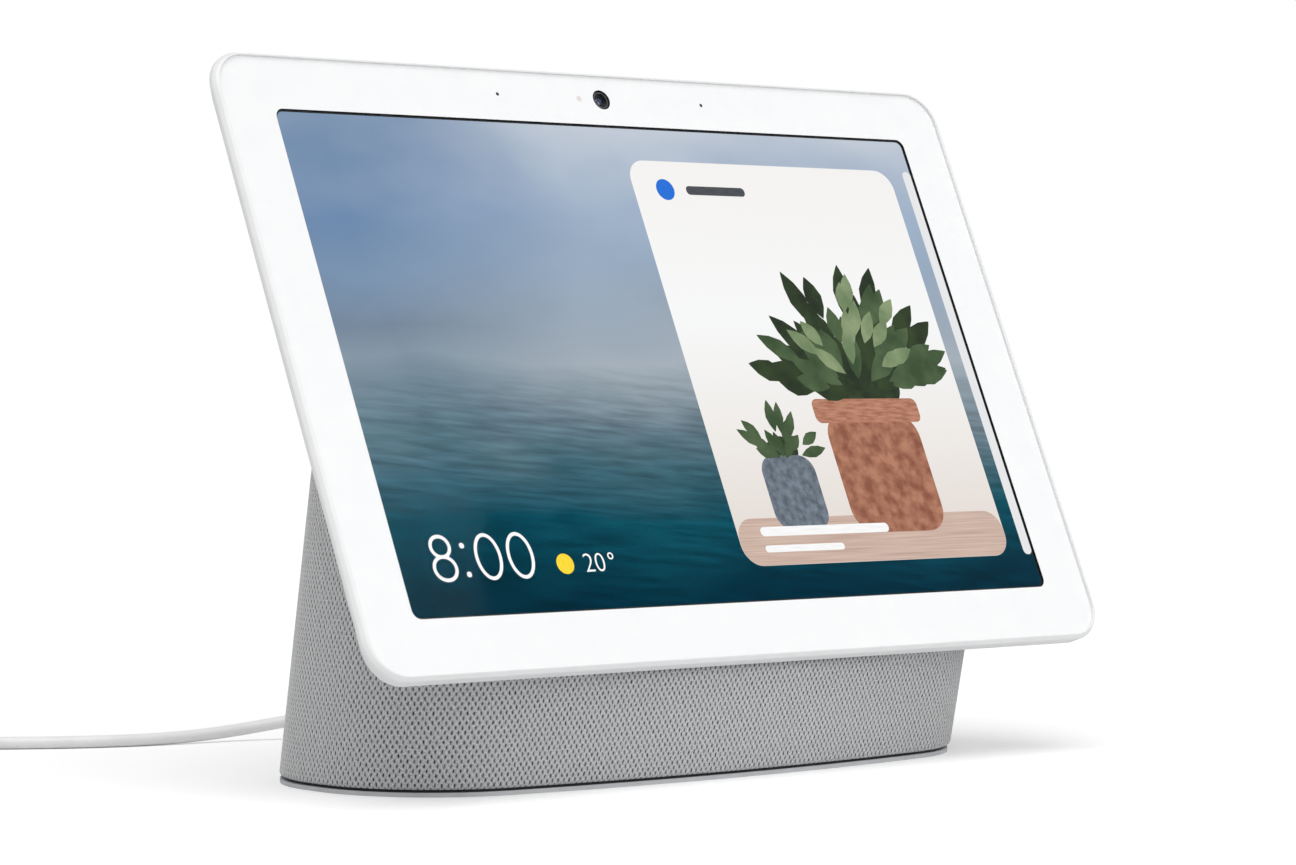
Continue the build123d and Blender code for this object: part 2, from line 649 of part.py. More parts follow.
def base_plate():
    plate = base_slice(PLATE_INSET, FOOT_T, FABRIC_LOW) + base_slice(FABRIC_TUCK + 0.3, FABRIC_LOW, SHELL_LOW)
    for x, y in power_board_posts():
        plate += upright(BOSS_R, SHELL_LOW - 0.5, SHELL_LOW + POWER_BOARD_LIFT, x, y)
        plate -= upright(SCREW_R + SCREW_FIT, FOOT_T + 0.4, SHELL_LOW + 3, x, y)
    for x, y in PLATE_SCREWS:
        plate -= upright(SCREW_R + 0.3, 0, SHELL_LOW + 1, x, y)
        plate -= upright(PLATE_SCREW_HEAD_R + 0.2, 0, FOOT_T + PLATE_SCREW_HEAD_T, x, y)
    return plate


def foot_pad():
    return base_slice(FOOT_INSET, 0, FOOT_T)


def plate_screws():
    pieces = []
    for x, y in PLATE_SCREWS:
        head = upright(PLATE_SCREW_HEAD_R, FOOT_T, FOOT_T + PLATE_SCREW_HEAD_T, x, y)
        head -= Pos(x, y, FOOT_T) * extrude(RegularPolygon(1.0, 6), 0.6)
        low = FOOT_T + PLATE_SCREW_HEAD_T - 0.1
        pieces.append(head + upright(SCREW_R, low, SHELL_LOW + PLATE_SCREW_L - 1, x, y))
    return Compound(children=pieces)


# ---- electronics ----
def main_board():
    board = slab(BOARD_W, BOARD_H, board_front, board_back, 2.0, q=BOARD_Q)
    for x, q in board_screw_places():
        board -= post(SCREW_R + BOARD_SCREW_FIT, board_front - 1, board_back + 1, x, q)
    return board


def board_connectors():
    pieces = []
    for x, width in ((DISPLAY_RIBBON_X, RIBBON_W), (SENSOR_RIBBON_X, SENSOR_RIBBON_W)):
        pieces.append(slab(width + 1, CONNECTOR_H, board_front - CONNECTOR_T, board_front, x=x, q=RIBBON_Q))
    return Compound(children=pieces)


def board_chips():
    pieces = []
    for x, q, width, height in SHIELDS:
        pieces.append(slab(14, 14, board_back, board_back + 1.4, x=x - width / 5, q=q))
        pieces.append(slab(10, 12, board_back, board_back + 1.2, x=x + width / 5, q=q))
    return Compound(children=pieces)


def shield_cans():
    pieces = []
    for x, q, width, height in SHIELDS:
        can = slab(width, height, board_back, board_back + SHIELD_H, x=x, q=q)
        hollow = slab(width - 2 * SHEET, height - 2 * SHEET, 0, board_back + SHIELD_H - SHEET, x=x, q=q)
        pieces.append(can - hollow)
    return Compound(children=pieces)


def thermal_pads():
    top = board_back + SHIELD_H
    return Compound(children=[slab(w - 8, h - 8, top, top + PAD_T, x=x, q=q) for x, q, w, h in SHIELDS])


def heat_spreader():
    near = board_back + SHIELD_H + PAD_T
    far = near + SPREADER_T
    plate = slab(SPREADER_W, SPREADER_H, near, far, 2.0, q=BOARD_Q - 3)
    for step in range(-4, 5):
        plate += slab(FIN_T, SPREADER_H - 6, far, far + FIN_H, x=FIN_SPACING * step, q=BOARD_Q - 3)
    return plate


def power_board_posts():
    post_x = POWER_BOARD_W / 2 - POWER_POST_IN
    post_ys = (POWER_BOARD_Y + POWER_POST_IN, POWER_BOARD_Y + POWER_BOARD_D - POWER_POST_IN)
    return [(side * post_x, y) for side in (-1, 1) for y in post_ys]


def power_board():
    low = SHELL_LOW + POWER_BOARD_LIFT
    outline = RectangleRounded(POWER_BOARD_W, POWER_BOARD_D, 2)
    board = Pos(0, POWER_BOARD_Y + POWER_BOARD_D / 2, low) * extrude(outline, BOARD_T)
    for x, y in power_board_posts():
        board -= upright(SCREW_R + BOARD_SCREW_FIT, low - 1, low + BOARD_T + 1, x, y)
    return board


def power_parts():
    """Two capacitors, a coil and a converter chip."""
    top = SHELL_LOW + POWER_BOARD_LIFT + BOARD_T
    pieces = [upright(4.0, top, top + 9, x, POWER_BOARD_Y + 18) for x in (-26, -15)]
    pieces.append(Pos(16, POWER_BOARD_Y + 20, top) * extrude(RectangleRounded(12, 12, 1.5), 6))
    pieces.append(Pos(0, POWER_BOARD_Y + 8, top) * extrude(Rectangle(9, 9), 1.2))
    return Compound(children=pieces)


def board_screws():
    pieces = []
    for x, q in board_screw_places():
        shank = post(SCREW_R, board_back - BOARD_SCREW_L, board_back, x, q)
        head = post(BOARD_SCREW_HEAD_R, board_back, board_back + BOARD_SCREW_HEAD_T, x, q)
        pieces.append(head + shank)
    top = SHELL_LOW + POWER_BOARD_LIFT + BOARD_T
    for x, y in power_board_posts():
        head = upright(BOARD_SCREW_HEAD_R, top, top + BOARD_SCREW_HEAD_T, x, y)
        pieces.append(head + upright(SCREW_R, FOOT_T + 0.6, top, x, y))
    return Compound(children=pieces)


def dc_jack():
    low = SHELL_LOW + POWER_BOARD_LIFT + BOARD_T
    high = JACK_Z + JACK_H / 2
    body = Pos(0, JACK_FACE - JACK_D / 2, (low + high) / 2) * Box(JACK_W, JACK_D, high - low)
    body -= Pos(0, JACK_FACE - 5, JACK_Z) * Rot(90, 0, 0) * Cylinder(JACK_BORE_R, 12)
    return body + Pos(0, JACK_FACE - 6.5, JACK_Z) * Rot(90, 0, 0) * Cylinder(JACK_PIN_R, 10)


def jack_bezel():
    """A plastic ring that lines the hole through the wall and the fabric."""
    sleeve = Pos(0, JACK_FACE + 3.5, JACK_Z) * Rot(90, 0, 0) * Cylinder(BEZEL_R, 7)
    sleeve &= base_block(-0.2, 0.5)
    return sleeve - Pos(0, JACK_FACE + 2, JACK_Z) * Rot(90, 0, 0) * Cylinder(GRIP_R + BEZEL_FIT, 20)


# ---- woofer ----
def woofer_gasket():
    body = ring(REAR, WOOFER_R, 0, WOOFER_SEAT, flange_front)
    for ear in woofer_ears(4.3, WOOFER_SEAT, flange_front):
        body += ear
    for ear in woofer_ears(SCREW_R + 0.2, WOOFER_SEAT - 1, flange_front + 1):
        body -= ear
    return body - ring(REAR, WOOFER_R - GASKET_W, 0, WOOFER_SEAT - 1, flange_front + 1)


def woofer_basket():
    flange = ring(REAR, WOOFER_R, 0, flange_front, flange_back)
    for ear in woofer_ears(4.3, flange_front, flange_back):
        flange += ear
    flange -= ring(REAR, FLANGE_BORE_R, 0, flange_front - 1, flange_back + 1)
    for ear in woofer_ears(SCREW_R + 0.2, flange_front - 1, flange_back + 1):
        flange -= ear
    wall = turned(REAR, [(basket_wall_r, flange_back - 0.4), (basket_wall_r - 1, flange_back - 0.4),
                         (MAGNET_R + 1, BASKET_BACK), (COIL_R + 2.9, BASKET_BACK), (COIL_R + 2.9, basket_end),
                         (MAGNET_R + 2, basket_end)])
    for step in range(6):
        turn = Rot(0, 0, 60 * step)
        window = REAR * turn * Pos(31, 0, -(flange_back + BASKET_BACK) / 2 - 0.5) * Box(20, 17, 7.5)
        wall -= window
    return flange + wall


def woofer_top_plate():
    return ring(REAR, MAGNET_R - 1, COIL_R + 0.6 + COIL_GAP, basket_end, top_plate_back)


def woofer_magnet():
    return ring(REAR, MAGNET_R, COIL_R + 4, top_plate_back, magnet_back)


def woofer_yoke():
    pole = ring(REAR, COIL_R - 0.8, 0, basket_end, magnet_back + 0.1)
    return ring(REAR, MAGNET_R, 0, magnet_back, yoke_back) + pole


def woofer_cone():
    return turned(REAR, [(CONE_R, CONE_FRONT), (CONE_R, CONE_FRONT + CONE_T),
                         (COIL_R, CONE_BACK + CONE_T), (COIL_R, CONE_BACK)])


def woofer_dust_cap():
    rim_r = COIL_R + 2.5
    rim_depth = CONE_BACK - (CONE_BACK - CONE_FRONT) * (rim_r - COIL_R) / (CONE_R - COIL_R)
    return cap(REAR, rim_r, rim_depth - 0.02, 2.6, 0.4)


def woofer_voice_coil():
    former = ring(REAR, COIL_R - 0.02, COIL_R - 0.32, CONE_BACK - 0.5, BASKET_BACK + 4.5)
    return former + ring(REAR, COIL_R + 0.58, COIL_R - 0.1, BASKET_BACK + 0.2, BASKET_BACK + 4.5)


def woofer_surround():
    """A half roll of rubber between the cone's edge and the basket's flange."""
    lip_w = WOOFER_R - GASKET_W - FLANGE_BORE_R
    mid_r = (CONE_R + FLANGE_BORE_R) / 2
    roll = (FLANGE_BORE_R - CONE_R) / 2 + 0.4
    section = Circle(roll) - Circle(roll - 0.5)
    half = section & Pos(0, roll) * Rectangle(4 * roll, 2 * roll)
    outline = Plane.XZ * Pos(mid_r, -flange_front) * half
    lip = Plane.XZ * Pos(FLANGE_BORE_R + lip_w / 2, -flange_front + 0.25) * Rectangle(lip_w - FIT, 0.5)
    return REAR * (revolve(outline, Axis.Z) + revolve(lip, Axis.Z))


def woofer_spider():
    back = CONE_BACK + 1.9
    slope = (basket_wall_r - 1 - MAGNET_R - 1) / (BASKET_BACK - flange_back + 0.4)
    reach = MAGNET_R + 1 + slope * (BASKET_BACK - back) - 0.05
    return ring(REAR, reach, COIL_R + 0.02, back - 0.4, back)


def woofer_screws():
    pieces = []
    for head, shank in zip(woofer_ears(2.3, flange_back, flange_back + 1.4),
                           woofer_ears(SCREW_R, WOOFER_SEAT - 3, flange_back)):
        pieces.append(head + shank)
    return Compound(children=pieces)


# ---- tweeters ----
def tweeter_bodies():
    pieces = []
    for frame in tweeter_frames():
        far = TWEETER_SEAT + TWEETER_DEPTH
        body = ring(frame, TWEETER_R, 0, TWEETER_SEAT, far)
        body -= ring(frame, DOME_R + 0.3, 0, TWEETER_SEAT - 1, TWEETER_SEAT + 3)
        pieces.append(body)
    return Compound(children=pieces)


def tweeter_dome(frame):
    dome = cap(frame, DOME_R, TWEETER_SEAT + 1.0, 1.8, 0.25)
    skirt = ring(frame, DOME_R, DOME_R - 0.3, TWEETER_SEAT + 0.9, TWEETER_SEAT + 2.4)
    return dome + skirt


# ---- lead ----
def along_y(radius, low, high):
    return Pos(0, (low + high) / 2, JACK_Z) * Rot(90, 0, 0) * Cylinder(radius, high - low)


def power_plug():
    barrel = along_y(PLUG_R, JACK_FACE - PLUG_BARREL_L, JACK_FACE + 1)
    barrel -= along_y(JACK_PIN_R + 0.25, JACK_FACE - PLUG_BARREL_L - 1, JACK_FACE)
    grip = along_y(GRIP_R, JACK_FACE + 0.2, JACK_FACE + GRIP_L)
    grip = fillet(grip.edges().filter_by(GeomType.CIRCLE), 1.0)
    return barrel + grip


def strain_relief():
    near = JACK_FACE + GRIP_L
    cone = Pos(0, near + RELIEF_L / 2, JACK_Z) * Rot(-90, 0, 0) * Cone(3.6, CORD_R + RELIEF_T, RELIEF_L)
    for step in range(4):
        y = near + 4 + 3.6 * step
        cone -= along_y(6, y, y + 1.2) - along_y(CORD_R + 0.5, y - 1, y + 3)
    return cone


def cord_coil():
    section = RectangleRounded(COIL_BUNDLE_W, COIL_BUNDLE_H, COIL_BUNDLE_R)
    profile = Plane.XZ * Pos(COIL_MID_R, COIL_LIFT + COIL_BUNDLE_H / 2) * section
    return Pos(*COIL_CENTRE, 0) * revolve(profile, Axis.Z)


def cord_tie():
    inner_w, inner_h = COIL_BUNDLE_W + 0.8, COIL_BUNDLE_H + 0.2
    outer_w, outer_h = inner_w + 2 * TIE_T, inner_h + 2 * TIE_T
    inner_r = COIL_BUNDLE_R - 0.2
    band = RectangleRounded(outer_w, outer_h, inner_r + TIE_T) - RectangleRounded(inner_w, inner_h, inner_r)
    strap = extrude(Plane.XZ * Pos(-COIL_MID_R, outer_h / 2) * band, TIE_W / 2, both=True)
    return Pos(*COIL_CENTRE, 0) * strap


def adapter_body():
    x, y, z = ROUTE_IN[-1]
    near = x - ADAPTER_RELIEF_L
    body = Pos(near - ADAPTER_L / 2, y, z) * Box(ADAPTER_L, ADAPTER_W, ADAPTER_H)
    body = fillet(body.edges().filter_by(Axis.Z), ADAPTER_R)
    body = fillet(body.edges(), 2.5)
    cone = Cone(4.2, CORD_R + RELIEF_T, ADAPTER_RELIEF_L)
    relief = Pos(near + ADAPTER_RELIEF_L / 2, y, z) * Rot(0, 90, 0) * cone
    return body + relief


def adapter_pins():
    x, y, z = ROUTE_IN[-1]
    near = x - ADAPTER_RELIEF_L - ADAPTER_L
    pieces = []
    for side in (-1, 1):
        pin = Pos(near - PIN_L / 2, y + side * PIN_SPACING / 2, z) * Rot(0, 90, 0) * Cylinder(PIN_R, PIN_L)
        pieces.append(fillet(pin.faces().sort_by(Axis.X)[0].edges(), 1.2))
    return Compound(children=pieces)


# ---- write the parts ----
left_frame, right_frame = tweeter_frames()
display_ribbon = ribbon(DISPLAY_RIBBON_X, RIBBON_W, 14, 0)
sensor_ribbon = ribbon(SENSOR_RIBBON_X, SENSOR_RIBBON_W, SENSOR_Q - SENSOR_BOARD_H / 2 + 2,
                       SENSOR_BOARD_DEPTH + SENSOR_BOARD_T)
PARTS = {
    "cover_glass": cover_glass(),
    "border_mask": border_mask(),
    "glass_adhesive": glass_adhesive(),
    "lcd_panel": lcd_panel(),
    "backlight_unit": backlight_unit(),
    "lcd_frame": lcd_frame(),
    "rear_housing": rear_housing(),
    "sensor_board": sensor_board(),
    "camera_module": camera_module(),
    "camera_lens": camera_lens(),
    "light_sensor": light_sensor(),
    "microphones": microphones(),
    "microphone_gaskets": microphone_gaskets(),
    "wifi_antennas": wifi_antennas(),
    "volume_rocker": volume_rocker(),
    "volume_board": volume_board(),
    "volume_switches": volume_switches(),
    "privacy_slider": privacy_slider(),
    "privacy_switch": privacy_switch(),
    "display_ribbon": display_ribbon,
    "sensor_ribbon": sensor_ribbon,
    "head_screws": head_screws(),
    "fabric_sleeve": fabric_sleeve(),
    "base_shell": base_shell(),
    "base_plate": base_plate(),
    "foot_pad": foot_pad(),
    "plate_screws": plate_screws(),
    "main_board": main_board(),
    "board_connectors": board_connectors(),
    "board_chips": board_chips(),
    "shield_cans": shield_cans(),
    "thermal_pads": thermal_pads(),
    "heat_spreader": heat_spreader(),
    "board_screws": board_screws(),
    "power_board": power_board(),
    "power_parts": power_parts(),
    "dc_jack": dc_jack(),
    "jack_bezel": jack_bezel(),
    "woofer_gasket": woofer_gasket(),
    "woofer_basket": woofer_basket(),
    "woofer_top_plate": woofer_top_plate(),
    "woofer_magnet": woofer_magnet(),
    "woofer_yoke": woofer_yoke(),
    "woofer_cone": woofer_cone(),
    "woofer_dust_cap": woofer_dust_cap(),
    "woofer_voice_coil": woofer_voice_coil(),
    "woofer_surround": woofer_surround(),
    "woofer_spider": woofer_spider(),
    "woofer_screws": woofer_screws(),
    "tweeter_bodies": tweeter_bodies(),
    "tweeter_dome_left": tweeter_dome(left_frame),
    "tweeter_dome_right": tweeter_dome(right_frame),
    "power_plug": power_plug(),
    "strain_relief": strain_relief(),
    "power_cord": tube(ROUTE_OUT, CORD_R),
    "cord_coil": cord_coil(),
    "power_cord_end": tube(ROUTE_IN, CORD_R),
    "cord_tie": cord_tie(),
    "adapter_body": adapter_body(),
    "adapter_pins": adapter_pins(),
}

os.makedirs("parts", exist_ok=True)
for node, piece in PARTS.items():
    save(node, piece)
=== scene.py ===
# %% [markdown]
# # A smart display, dressed for the camera
# The model is already exact: every piece was made to size in CAD and arrives here as a fixed frame.
# This script gives those pieces their real finishes, and builds the ones that CAD only blocks out:
# the knitted sleeve, the lit picture, the camera's barrel and the lead.
# %% Load the frame
import json
import math
import random

import bmesh
import bpy
from mathutils import Matrix, Vector


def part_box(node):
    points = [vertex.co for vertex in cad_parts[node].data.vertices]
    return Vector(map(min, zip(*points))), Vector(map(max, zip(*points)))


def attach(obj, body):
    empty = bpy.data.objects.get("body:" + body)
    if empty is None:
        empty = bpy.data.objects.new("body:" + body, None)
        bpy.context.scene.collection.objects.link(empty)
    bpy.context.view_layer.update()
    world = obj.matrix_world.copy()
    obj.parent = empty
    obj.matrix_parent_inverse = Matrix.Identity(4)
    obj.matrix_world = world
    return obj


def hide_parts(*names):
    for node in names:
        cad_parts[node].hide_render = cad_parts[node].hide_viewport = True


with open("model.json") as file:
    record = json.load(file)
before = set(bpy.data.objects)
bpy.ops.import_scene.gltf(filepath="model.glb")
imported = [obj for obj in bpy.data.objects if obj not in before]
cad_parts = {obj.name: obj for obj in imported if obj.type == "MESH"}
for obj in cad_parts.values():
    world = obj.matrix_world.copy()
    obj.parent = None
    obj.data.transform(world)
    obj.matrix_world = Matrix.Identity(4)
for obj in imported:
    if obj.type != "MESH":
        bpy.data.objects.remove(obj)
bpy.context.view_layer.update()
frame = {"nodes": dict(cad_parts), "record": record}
MM = 0.001

# %% [markdown]
# ## Where the tilted face is
# The head leans back, and everything on it is easier to build flat: across, up the face, and out of it.
# One matrix then sets a flat piece on the face. The glass's own box gives the middle of the face, so
# nothing has to be fitted by eye.
# %% The frame of the face
TILT = math.radians(24.35)
GLASS_T = 0.8 * MM
face_out = Vector((0, -math.cos(TILT), math.sin(TILT)))
face_up = Vector((0, math.sin(TILT), math.cos(TILT)))
glass_low, glass_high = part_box("cover_glass")
face_centre = (glass_low + glass_high) / 2 + face_out * GLASS_T / 2
FACE = Matrix.Translation(face_centre) @ Matrix((Vector((1, 0, 0)), face_up, face_out)).transposed().to_4x4()
print("face centre", [round(c, 4) for c in face_centre])

# %% [markdown]
# ## Making a piece
# Each piece is drawn with mesh operators, its faces are turned outwards, and it becomes an object at the
# origin that rides on one body of the model. A head part often is a plate with round corners, so that
# shape is a function: a square, stretched, its corners bevelled, then pulled up to its thickness.
# %% Helpers for pieces
def finish_piece(bm, name, body, material, place=Matrix(), smooth_angle=30.0):
    bmesh.ops.transform(bm, matrix=place, verts=bm.verts)
    bmesh.ops.recalc_face_normals(bm, faces=bm.faces)
    mesh = bpy.data.meshes.new(name)
    bm.to_mesh(mesh)
    bm.free()
    mesh.materials.append(material)
    mesh.shade_smooth()
    mesh.set_sharp_from_angle(angle=math.radians(smooth_angle))
    piece = bpy.data.objects.new(name, mesh)
    bpy.context.scene.collection.objects.link(piece)
    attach(piece, body)
    return piece


def raise_faces(bm, thickness):
    """Pulls the faces up into a closed solid of that thickness."""
    pulled = bmesh.ops.extrude_face_region(bm, geom=bm.faces[:])["geom"]
    top = [v for v in pulled if isinstance(v, bmesh.types.BMVert)]
    bmesh.ops.translate(bm, vec=(0, 0, thickness), verts=top)


def plate(width, height, radius, front, back, x=0.0, q=0.0):
    """A plate of the head, in mm: centred at x, q on the face, from depth front to depth back below it."""
    bm = bmesh.new()
    bmesh.ops.create_grid(bm, x_segments=1, y_segments=1, size=0.5)
    bmesh.ops.scale(bm, vec=(width * MM, height * MM, 1), verts=bm.verts)
    if radius:
        bmesh.ops.bevel(bm, geom=bm.verts[:], offset=radius * MM, offset_type="OFFSET", affect="VERTICES",
                        segments=8, profile=0.5, material=-1)
    raise_faces(bm, (back - front) * MM)
    bmesh.ops.translate(bm, vec=(x * MM, q * MM, -back * MM), verts=bm.verts)
    return bm


# %% [markdown]
# ## The camera
# A product is shown with a long lens from well back, which keeps its edges nearly parallel. The lens is
# 112 mm on a full frame, and it stands a little below the middle of the face, to the left.
# %% Camera
LENS = 112.07
CAMERA_PLACE = Vector((-0.6924, -0.8025, 0.10539))
CAMERA_TURN = math.radians(41.093)
CAMERA_DOWN = math.radians(0.976)
camera_data = bpy.data.cameras.new("camera")
camera_data.lens = LENS
camera_data.sensor_width = 36.0
camera_data.clip_start = 0.01
camera = bpy.data.objects.new("camera", camera_data)
camera.location = CAMERA_PLACE
camera.rotation_euler = (math.pi / 2 - CAMERA_DOWN, 0, -CAMERA_TURN)
bpy.context.scene.collection.objects.link(camera)
bpy.context.scene.camera = camera
bpy.context.view_layer.update()
print("camera is", round(CAMERA_PLACE.length, 3), "m from the origin")

# %% [markdown]
# ## Colours and nodes
# Colours are given the way a designer writes them, as sRGB hex values, but the sockets take linear light.
# One function turns them. Another adds a node, with its settings and what feeds it, in one line.
# %% Helpers for materials
def colour(hex_text):
    """An sRGB hex value as linear light."""
    channels = [int(hex_text[k:k + 2], 16) / 255 for k in (1, 3, 5)]
    return (*[c / 12.92 if c <= 0.04045 else ((c + 0.055) / 1.055) ** 2.4 for c in channels], 1.0)


def add(tree, kind, values=None, **settings):
    """Adds a node. Settings go to the node, values to its sockets; a socket given as a value is linked."""
    node = tree.nodes.new(kind)
    for key, value in settings.items():
        setattr(node, key, value)
    for key, value in (values or {}).items():
        if isinstance(value, bpy.types.NodeSocket):
            tree.links.new(value, node.inputs[key])
        else:
            node.inputs[key].default_value = value
    return node


def new_material(name):
    material = bpy.data.materials.new(name)
    material.use_nodes = True
    material.node_tree.nodes.clear()
    return material, material.node_tree


def ramp(tree, factor, stops):
    """A colour ramp from (place, hex) stops."""
    node = add(tree, "ShaderNodeValToRGB", {"Fac": factor})
    elements = node.color_ramp.elements
    while len(elements) < len(stops):
        elements.new(0.5)
    for element, (place, hex_text) in zip(elements, stops):
        element.position = place
        element.color = colour(hex_text)
    return node.outputs["Color"]


def moulded(name, pale, deep, rough, grain, relief, ior=1.5, metallic=0.0, sheen=0.0):
    """A surface with two close shades and a fine relief, of spacing grain and height relief, in mm."""
    material, tree = new_material(name)
    place = add(tree, "ShaderNodeTexCoord").outputs["Object"]
    cloud = add(tree, "ShaderNodeTexNoise", {"Vector": place, "Scale": 1 / (grain * 18 * MM), "Detail": 3.0})
    fine = add(tree, "ShaderNodeTexNoise", {"Vector": place, "Scale": 1 / (grain * MM), "Detail": 2.0})
    shade = ramp(tree, cloud.outputs["Fac"], [(0.3, deep), (0.7, pale)])
    gloss = add(tree, "ShaderNodeMapRange", {"Value": fine.outputs["Fac"], "From Min": 0.3, "From Max": 0.7,
                                             "To Min": rough - 0.04, "To Max": rough + 0.04})
    bump = add(tree, "ShaderNodeBump", {"Height": fine.outputs["Fac"], "Strength": 0.6,
                                        "Distance": relief * MM})
    shader = add(tree, "ShaderNodeBsdfPrincipled", {
        "Base Color": shade, "Roughness": gloss.outputs["Result"], "Normal": bump.outputs["Normal"],
        "IOR": ior, "Metallic": metallic, "Sheen Weight": sheen})
    add(tree, "ShaderNodeOutputMaterial", {"Surface": shader.outputs["BSDF"]})
    return material


# %% [markdown]
# ## Finishes of the whole object
# Injection-moulded plastic takes a spark-eroded texture from its mould: a fine even grain that softens
# every highlight. Each finish here starts from what the real one is, and only its shades, its grain and
# its gloss differ, so one function makes them all. Grain under 0.3 mm is drawn at 0.3 mm, to show at all.
# %% Moulded, cast and drawn finishes
finishes = {
    "white_border": moulded("white_ink_behind_glass", "#F6F7F7", "#F3F4F5", 0.45, 0.4, 0.002),
    "light_guide": moulded("white_acrylic_light_guide", "#F0F1F2", "#E6E8EA", 0.3, 0.5, 0.01),
    "adhesive": moulded("acrylic_foam_tape", "#E4E5E6", "#D8D9DB", 0.8, 0.3, 0.02),
    "sheet_metal": moulded("zinc_plated_sheet_steel", "#C9CACB", "#A9ABAE", 0.38, 0.5, 0.01, 1.5, 1.0),
    "white_plastic": moulded("spark_textured_white_polycarbonate", "#F1F1F1", "#ECEDED", 0.46, 0.3, 0.012),
    "inner_plastic": moulded("black_glass_filled_abs", "#2A2B2D", "#1F2022", 0.62, 0.4, 0.03),
    "circuit": moulded("green_solder_mask", "#1E5A3A", "#164A2F", 0.35, 0.8, 0.02),
    "chip": moulded("black_epoxy_chip", "#1B1C1E", "#141416", 0.55, 0.3, 0.01),
    "flex": moulded("amber_polyimide_flex", "#C07A2C", "#A96520", 0.3, 0.6, 0.01),
    "silicone": moulded("pale_grey_silicone_rubber", "#C9CBCD", "#BFC1C3", 0.7, 0.4, 0.02),
    "foam": moulded("black_open_cell_foam", "#2B2B2B", "#151515", 0.95, 0.35, 0.12),
    "steel": moulded("nickel_plated_steel_screw", "#BFC0C2", "#A2A4A7", 0.3, 0.4, 0.01, 1.5, 1.0),
    "aluminium": moulded("cast_aluminium", "#C4C6C8", "#AEB0B3", 0.42, 0.4, 0.03, 1.5, 1.0),
    "thermal": moulded("blue_thermal_pad", "#7FA6BD", "#6C94AC", 0.8, 0.4, 0.03),
    "magnet": moulded("black_ferrite", "#2F3033", "#222326", 0.5, 0.5, 0.03),
    "paper_cone": moulded("pressed_black_paper_pulp", "#26262A", "#1A1A1D", 0.85, 0.3, 0.05),
    "soft_rubber": moulded("black_nitrile_rubber", "#232427", "#191A1C", 0.6, 0.4, 0.02, sheen=0.1),
    "copper_coil": moulded("enamelled_copper_wire", "#B5652F", "#8E4A1F", 0.3, 0.3, 0.03, 1.5, 1.0),
    "dome_silk": moulded("coated_silk_dome", "#34343A", "#27272B", 0.6, 0.3, 0.02, sheen=0.3),
    "lead_plastic": moulded("satin_white_pvc_plug", "#EFEFEE", "#E8E8E7", 0.4, 0.4, 0.01),
    "lead_rubber": moulded("white_tpe_cord_jacket", "#FAFAFA", "#F4F4F4", 0.42, 0.5, 0.012),
    "nickel": moulded("nickel_plated_brass_pin", "#D2D0CB", "#BBB8B2", 0.22, 0.5, 0.006, 1.5, 1.0),
    "lens": moulded("black_optical_barrel", "#17181A", "#101113", 0.3, 0.3, 0.004),
}
print("finishes", len(finishes))

# %% [markdown]
# ## Cover glass
# The glass is thin, flat and coated against reflections, so it should be seen only where a light glances
# off it. A full refracting glass would dim what lies behind it and take far longer. Here the light goes
# straight through, and a weak mirror is mixed in by Fresnel, on the outer side only.
# %% Coated glass
def coated_glass():
    material, tree = new_material("anti_reflective_cover_glass")
    place = add(tree, "ShaderNodeTexCoord").outputs["Object"]
    smudge = add(tree, "ShaderNodeTexNoise", {"Vector": place, "Scale": 1 / (30 * MM), "Detail": 2.0})
    gloss = add(tree, "ShaderNodeMapRange", {"Value": smudge.outputs["Fac"], "To Min": 0.03, "To Max": 0.09})
    mirror = add(tree, "ShaderNodeBsdfGlossy", {"Roughness": gloss.outputs["Result"]})
    clear = add(tree, "ShaderNodeBsdfTransparent")
    fresnel = add(tree, "ShaderNodeFresnel", {"IOR": 1.16})
    behind = add(tree, "ShaderNodeNewGeometry").outputs["Backfacing"]
    outside = add(tree, "ShaderNodeMath", {0: 1.0, 1: behind}, operation="SUBTRACT")
    weight = add(tree, "ShaderNodeMath", {0: fresnel.outputs["Fac"], 1: outside.outputs["Value"]},
                 operation="MULTIPLY")
    mix = add(tree, "ShaderNodeMixShader", {0: weight.outputs["Value"], 1: clear.outputs["BSDF"],
                                            2: mirror.outputs["BSDF"]})
    add(tree, "ShaderNodeOutputMaterial", {"Surface": mix.outputs["Shader"]})
    return material


finishes["front_glass"] = coated_glass()
print("made", finishes["front_glass"].name)

# %% [markdown]
# ## Liquid crystal panel
# Around its lit area a panel is black: its wiring hides behind an opaque matrix. A thin line of that
# black shows between the white border and the picture.
# %% Panel matrix
finishes["picture"] = moulded("black_panel_matrix", "#08090A", "#050506", 0.4, 0.5, 0.002)
print("made", finishes["picture"].name)

# %% Dress every node with the finish of its slot
knit_nodes = []
for subpart in frame["record"]["subparts"]:
    node = frame["nodes"][subpart["node"]]
    if subpart["material_slot"] == "knit":
        knit_nodes.append(node.name)
        continue
    finish = finishes[subpart["material_slot"]]
    if node.name in ("camera_module", "camera_lens"):
        finish = finishes["lens"]
    node.data.materials.clear()
    node.data.materials.append(finish)
print("dressed", len(frame["nodes"]) - len(knit_nodes), "nodes; replaced by cloth:", knit_nodes)

